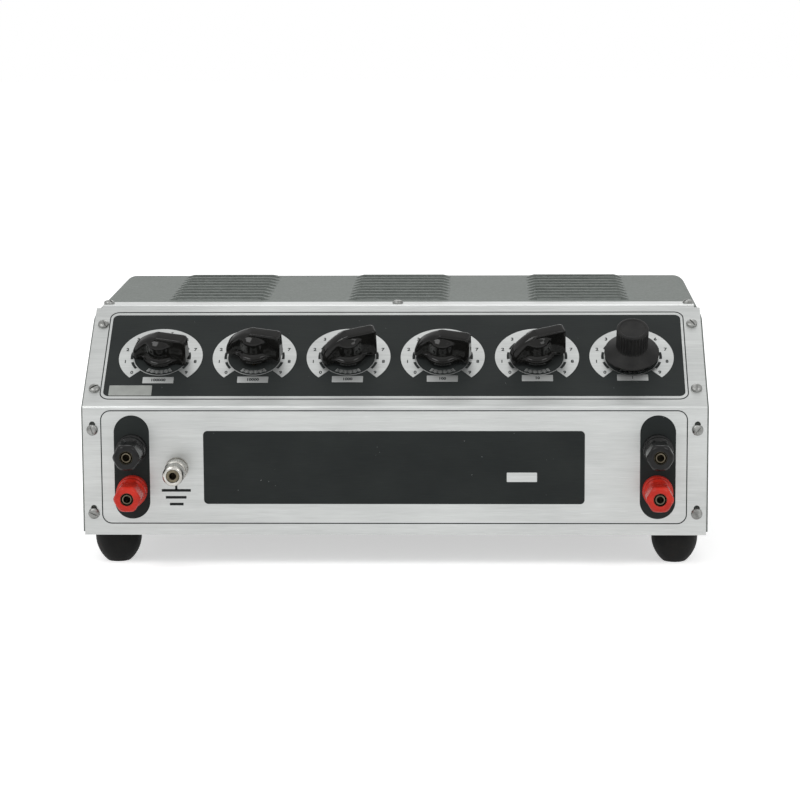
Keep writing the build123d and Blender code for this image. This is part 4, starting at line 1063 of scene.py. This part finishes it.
@dataclass
class GroundCap:
    """Knurled metal thumb nut of the ground post."""

    seat: float = 4.5
    radius: float = 6.3
    reach: float = 24.5
    knurls: int = 28
    knurl_depth: float = 0.32
    bore_radius: float = 3.65
    pocket_radius: float = 5.03
    pocket_top: float = 16.33
    samples: int = 6

    def shell(self) -> Shell:
        """Closed tube with two knurled bands and a plain groove between them."""
        angle = np.linspace(0, 2 * math.pi, self.knurls * self.samples, endpoint=False)
        line = [(self.radius - 0.3, self.seat, 0), (self.radius, self.seat + 0.3, 0),
                (self.radius, self.seat + 1.0, 1), (self.radius, 10.2, 1), (self.radius - 0.5, 10.8, 0),
                (self.radius - 1.0, 11.2, 0), (self.radius - 1.0, 13.0, 0), (self.radius - 0.6, 13.6, 0),
                (self.radius - 0.5, 14.2, 0), (self.radius - 0.5, 22.6, 0), (self.radius - 0.8, 23.6, 0),
                (self.radius - 1.4, 24.3, 0), (self.radius - 1.9, self.reach, 0),
                (self.bore_radius + 0.25, self.reach, 0), (self.bore_radius, self.reach - 0.25, 0),
                (self.bore_radius, self.pocket_top, 0), (self.pocket_radius, self.pocket_top, 0),
                (self.pocket_radius, self.seat, 0)]
        data = np.array(line)
        wave = np.abs(np.sin(self.knurls * angle / 2))
        radius = data[:, :1] - self.knurl_depth * data[:, 2:] * (1 - wave)
        return lattice(rings(radius, data[:, 1], angle), along=True)


@dataclass
class BindingPosts:
    """The four signal posts and the ground post."""

    box: Box
    shop: Workshop
    side_offset: float = 146.3
    heights: Span = (25.5, 48.8)
    ground: Span = (-121.2, 37.9)
    ring_low: float = 26.9
    ring_high: float = 27.15

    def build(self) -> None:
        """Makes the caps, the eyelets of the jacks and dark rings round them that paint the shade of the
        barrels' recessed ends.
        """
        cap = SignalCap().shell()
        eyelets, end_shade_rings = [], []
        for side, side_name in ((-1, "left"), (1, "right")):
            for colour, height in zip(("red", "black"), self.heights):
                place = self.box.face.at(side * self.side_offset, height)
                name = f"{colour}_{side_name}"
                slot = f"{colour}_plastic"
                cap.placed(place).piece(f"thumb_nut_{name}", self.shop.finish(slot), f"cap_{name}", slot,
                                        (f"post_cap_{name}",))
                eyelets.append(self.eyelet(2.05, 2.55, self.ring_high).placed(place))
                # dark ring on the barrel's end: painted shade of the recessed end, in black plastic
                end_shade_rings.append(self.eyelet(2.5, 3.5, self.ring_low + 0.1).placed(place))
        place = self.box.face.at(*self.ground)
        GroundCap().shell().placed(place).piece("thumb_nut_ground", self.shop.finish("nickel"), "cap_ground",
                                                "nickel", ("post_cap_ground",))
        for name, parts, slot in (("jack_eyelets", eyelets, "plated_brass"),
                                  ("jack_collars", end_shade_rings, "black_plastic")):
            Shell.joined(parts).piece(name, self.shop.finish(slot), "cabinet", slot)

    def eyelet(self, inner: float, outer: float, high: float) -> Shell:
        """Small rounded ring on the end of a post's barrel."""
        low = self.ring_low - 0.2
        profile = [(inner, low), (outer, low), (outer, high - 0.05), (outer - 0.1, high),
                   (inner + 0.1, high), (inner, high - 0.05)]
        return lattice(turned(profile, 40), along=True)


@dataclass
class Fasteners:
    """Slotted round-head screws, with their heads and shanks."""

    box: Box
    shop: Workshop
    head_radius: float = 3.1
    head_height: float = 2.0
    slot_width: float = 0.9
    slot_depth: float = 1.0
    shank_radius: float = 1.6

    def shell(self, grip: float, turn: float) -> Shell:
        """One screw: a dome over rows across the slot, each row a closed loop down to the seat.

        Args:
            grip: length of the shank under the head.
            turn: angle of the slot in radians.

        Returns:
            Head and shank.
        """
        half = self.slot_width / 2
        side = self.head_radius * np.sin(np.linspace(math.asin(half / self.head_radius), math.pi / 2, 10))
        side[-1] = self.head_radius * 0.9995
        across = np.concatenate([-side[::-1], [-half, half], side])
        carved = np.concatenate([np.zeros(10), [1, 1], np.zeros(10)])
        reach = np.sqrt(np.clip(self.head_radius ** 2 - across ** 2, 0, None))[:, None]
        span = np.linspace(-1, 1, 17)
        y = reach * span
        distance = np.sqrt(across[:, None] ** 2 + y ** 2) / self.head_radius
        dome = self.head_height * (0.32 + 0.68 * np.sqrt(np.clip(1 - distance ** 2.2, 0, 1)))
        top = np.where(carved[:, None] > 0, np.minimum(dome, self.head_height - self.slot_depth), dome)
        x = np.broadcast_to(across[:, None], y.shape)
        upper = np.stack([x, y, top], -1)
        lower = np.stack([x, y, np.zeros_like(y)], -1)[:, ::-1]
        head = lattice(np.concatenate([upper, lower], 1), capped=True)
        shank = lattice(turned([(self.shank_radius, -grip), (self.shank_radius, 0.3)], 16), capped=True)
        both = Shell.joined([head, shank])
        return Shell(both.points @ spin(turn), both.faces)

    def build(self) -> None:
        """Makes the screws of the panel, the back and the underside."""
        box = self.box
        rng = np.random.default_rng(7)
        half = box.width / 2
        panel = [box.face.at(side * (half - 6.3), z) for side in (-1, 1) for z in (12.2, 59.6)]
        panel += [box.slope.at(side * (half - 6.3), u) for side in (-1, 1) for u in (15.0, 69.2)]
        panel += [box.top.at(x * (half - 7.0), box.strip_depth - 6.0) for x in (-1, 0, 1)]
        height = box.face_height + box.slope_rise
        rear = [box.rear.at(x * (half - 26.0), z) for z in (7.0, height - 7.0) for x in (-1, 0, 1)]
        ends = (48.0, box.depth / 2, box.depth - 48.0)
        base = [box.base.at(side * (half - 7.0), -y) for side in (-1, 1) for y in ends]
        groups = {"panel_screws": (panel, 5.8), "rear_screws": (rear, 5.0), "base_screws": (base, 5.3)}
        steel = self.shop.finish("screw_steel")
        for node, (places, grip) in groups.items():
            turns = rng.uniform(0, math.pi, len(places))
            shells = [self.shell(grip, turn).placed(place) for place, turn in zip(places, turns)]
            Shell.joined(shells).piece(f"slotted_{node}", steel, "cabinet", "screw_steel", (node,))


@dataclass
class LouvreScreens:
    """Thin plates just inside the mouths of the louvres, in a lighter paint: painted light that covers the
    shade in the slots.
    """

    box: Box
    shop: Workshop
    centres: tuple[float, ...] = (-105.0, 0.0, 105.0)
    first: float = 94.4
    pitch: float = 12.7
    count: int = 9
    half_foot: float = 28.1
    half_head: float = 23.5
    foot: float = -0.3
    head: float = 1.04
    inset: float = 0.3
    thickness: float = 0.3

    def build(self) -> None:
        """Makes one plate for each louvre, a trapezium like the mouth that it fills with painted light."""
        outline = np.array([(-self.half_foot, self.foot), (self.half_foot, self.foot),
                            (self.half_head, self.head), (-self.half_head, self.head)])
        # each plate is painted light: it hides the shade inside a louvre's mouth
        screen = plate(outline, -self.thickness, 0)
        top = self.box.face_height + self.box.slope_rise
        places = [self.box.face.at(x, top, -(self.first + self.inset + index * self.pitch))
                  for x in self.centres for index in range(self.count)]
        shells = [screen.placed(place) for place in places]
        Shell.joined(shells).piece("louvre_painted_light_plates", self.shop.finish("louvre_painted_light"), "cabinet",
                                   "cabinet_paint")


@dataclass
class CadDress:
    """Finish of every CAD node that stays."""

    shop: Workshop

    def build(self, frame: dict) -> None:
        """Gives each node the finish of its own material slot in the record.
        """
        slots = {row["node"]: row["material_slot"] for row in frame["record"]["subparts"]}
        for name, node in frame["nodes"].items():
            slot = slots[name]
            material = self.shop.finish(slot)
            if not node.material_slots:
                node.data.materials.append(material)
            for holder in node.material_slots:
                holder.material = material
            LOG.info("node %s: %s", name, slot)


@dataclass
class Studio:
    """Camera at the photograph's place, pale floor, soft lamps and a white surround."""

    lens: float = 132.53
    sensor: float = 36.0
    eye: Point = (52.764, -1700.98, 366.08)
    yaw: float = 1.7568
    pitch: float = 9.5589
    roll: float = 0.3032
    floor_size: float = 9.0
    ambient: float = 0.55
    background: float = 1.0

    def camera(self) -> None:
        """Camera turned by yaw about Z, pitch down from level and roll about its own axis."""
        data = bpy.data.cameras.new("studio_camera")
        data.lens, data.sensor_width = self.lens, self.sensor
        data.clip_start, data.clip_end = 0.05, 50.0
        eye = bpy.data.objects.new("studio_camera", data)
        turn = Matrix.Rotation(math.radians(self.yaw), 4, "Z")
        turn @= Matrix.Rotation(math.radians(90 - self.pitch), 4, "X")
        turn @= Matrix.Rotation(math.radians(-self.roll), 4, "Z")
        eye.matrix_world = Matrix.Translation([value * MM for value in self.eye]) @ turn
        bpy.context.scene.collection.objects.link(eye)
        bpy.context.scene.camera = eye

    def shown(self, graph: Graph) -> Signal:
        """1 for camera, glossy and transmission rays."""
        seen = None
        for output in ("Is Camera Ray", "Is Glossy Ray", "Is Transmission Ray"):
            ray = graph.node("ShaderNodeLightPath", {}, {}, output)
            seen = ray if seen is None else seen + ray
        return seen.between(0.0, 1.0)

    def floor(self) -> None:
        """Pale floor that keeps the soft shadow of the box."""
        half = self.floor_size / 2
        mesh = bpy.data.meshes.new("studio_floor")
        corners = [(-half, -half, 0), (half, -half, 0), (half, half, 0), (-half, half, 0)]
        mesh.from_pydata(corners, [], [(0, 1, 2, 3)])
        plane = bpy.data.objects.new("studio_floor", mesh)
        bpy.context.scene.collection.objects.link(plane)
        graph = Graph.named("studio_floor")
        matt = graph.node("ShaderNodeBsdfDiffuse", {}, {"Color": (0.86, 0.86, 0.86)})
        glow = graph.node("ShaderNodeEmission", {}, {"Strength": self.shown(graph) * 0.56})
        both = graph.node("ShaderNodeAddShader", {}, {0: matt, 1: glow})
        graph.node("ShaderNodeOutputMaterial", {}, {"Surface": both})
        mesh.materials.append(graph.owner)

    def lamp(self, name: str, place: Point, size: float, power: float, target: Point) -> None:
        """One square soft lamp.

        Args:
            name: name of the lamp.
            place: where it hangs, in metres.
            size: length of its side in metres.
            power: its power in watts.
            target: the point it looks at, in metres.
        """
        data = bpy.data.lights.new(name, "AREA")
        data.shape, data.size, data.energy = "SQUARE", size, power
        lamp = bpy.data.objects.new(name, data)
        aim = np.array(target) - np.array(place)
        lamp.matrix_world = Matrix.Translation(place) @ self.facing(aim)
        bpy.context.scene.collection.objects.link(lamp)

    def facing(self, aim: np.ndarray) -> Matrix:
        """Rotation that turns local -Z towards a direction, with X level."""
        back = -aim / np.linalg.norm(aim)
        right = np.cross((0, 0, 1), back)
        right /= np.linalg.norm(right)
        up = np.cross(back, right)
        return Matrix([(*row, 0) for row in np.column_stack([right, up, back])] + [(0, 0, 0, 1)])

    def surround(self) -> None:
        """White world, dimmer for diffuse light than for what is seen."""
        world = bpy.data.worlds.new("studio_world")
        bpy.context.scene.world = world
        graph = Graph(world)
        strength = self.shown(graph) * (self.background - self.ambient) + self.ambient
        shader = graph.node("ShaderNodeBackground", {}, {"Color": (1.0, 1.0, 1.0), "Strength": strength})
        graph.node("ShaderNodeOutputWorld", {}, {"Surface": shader})

    def build(self) -> None:
        """Sets up the whole studio."""
        bpy.context.scene.view_settings.view_transform = "Standard"
        self.camera()
        self.floor()
        self.surround()
        target = (0.0, 0.0, 0.08)
        self.lamp("key_lamp", (-0.9, -1.1, 1.5), 0.8, 11.0, target)
        self.lamp("fill_lamp", (1.0, -1.2, 1.3), 0.7, 6.0, target)
        self.lamp("rear_lamp", (0.1, 1.4, 1.5), 1.0, 6.0, target)


def corners(bounds: tuple) -> list[list[float]]:
    """Lowest and highest corner as plain lists."""
    return [list(corner) for corner in bounds]


def main() -> None:
    """Builds every piece round the frame."""
    logging.basicConfig(level=logging.INFO, format="%(name)s: %(message)s")
    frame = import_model()
    box, shop = Box(), Workshop()
    CadDress(shop).build(frame)
    PrintedPanel(box, shop).build()
    Dials(box, shop).build()
    BindingPosts(box, shop).build()
    Fasteners(box, shop).build()
    LouvreScreens(box, shop).build()
    Studio().build()


if __name__ == "__main__":
    main()
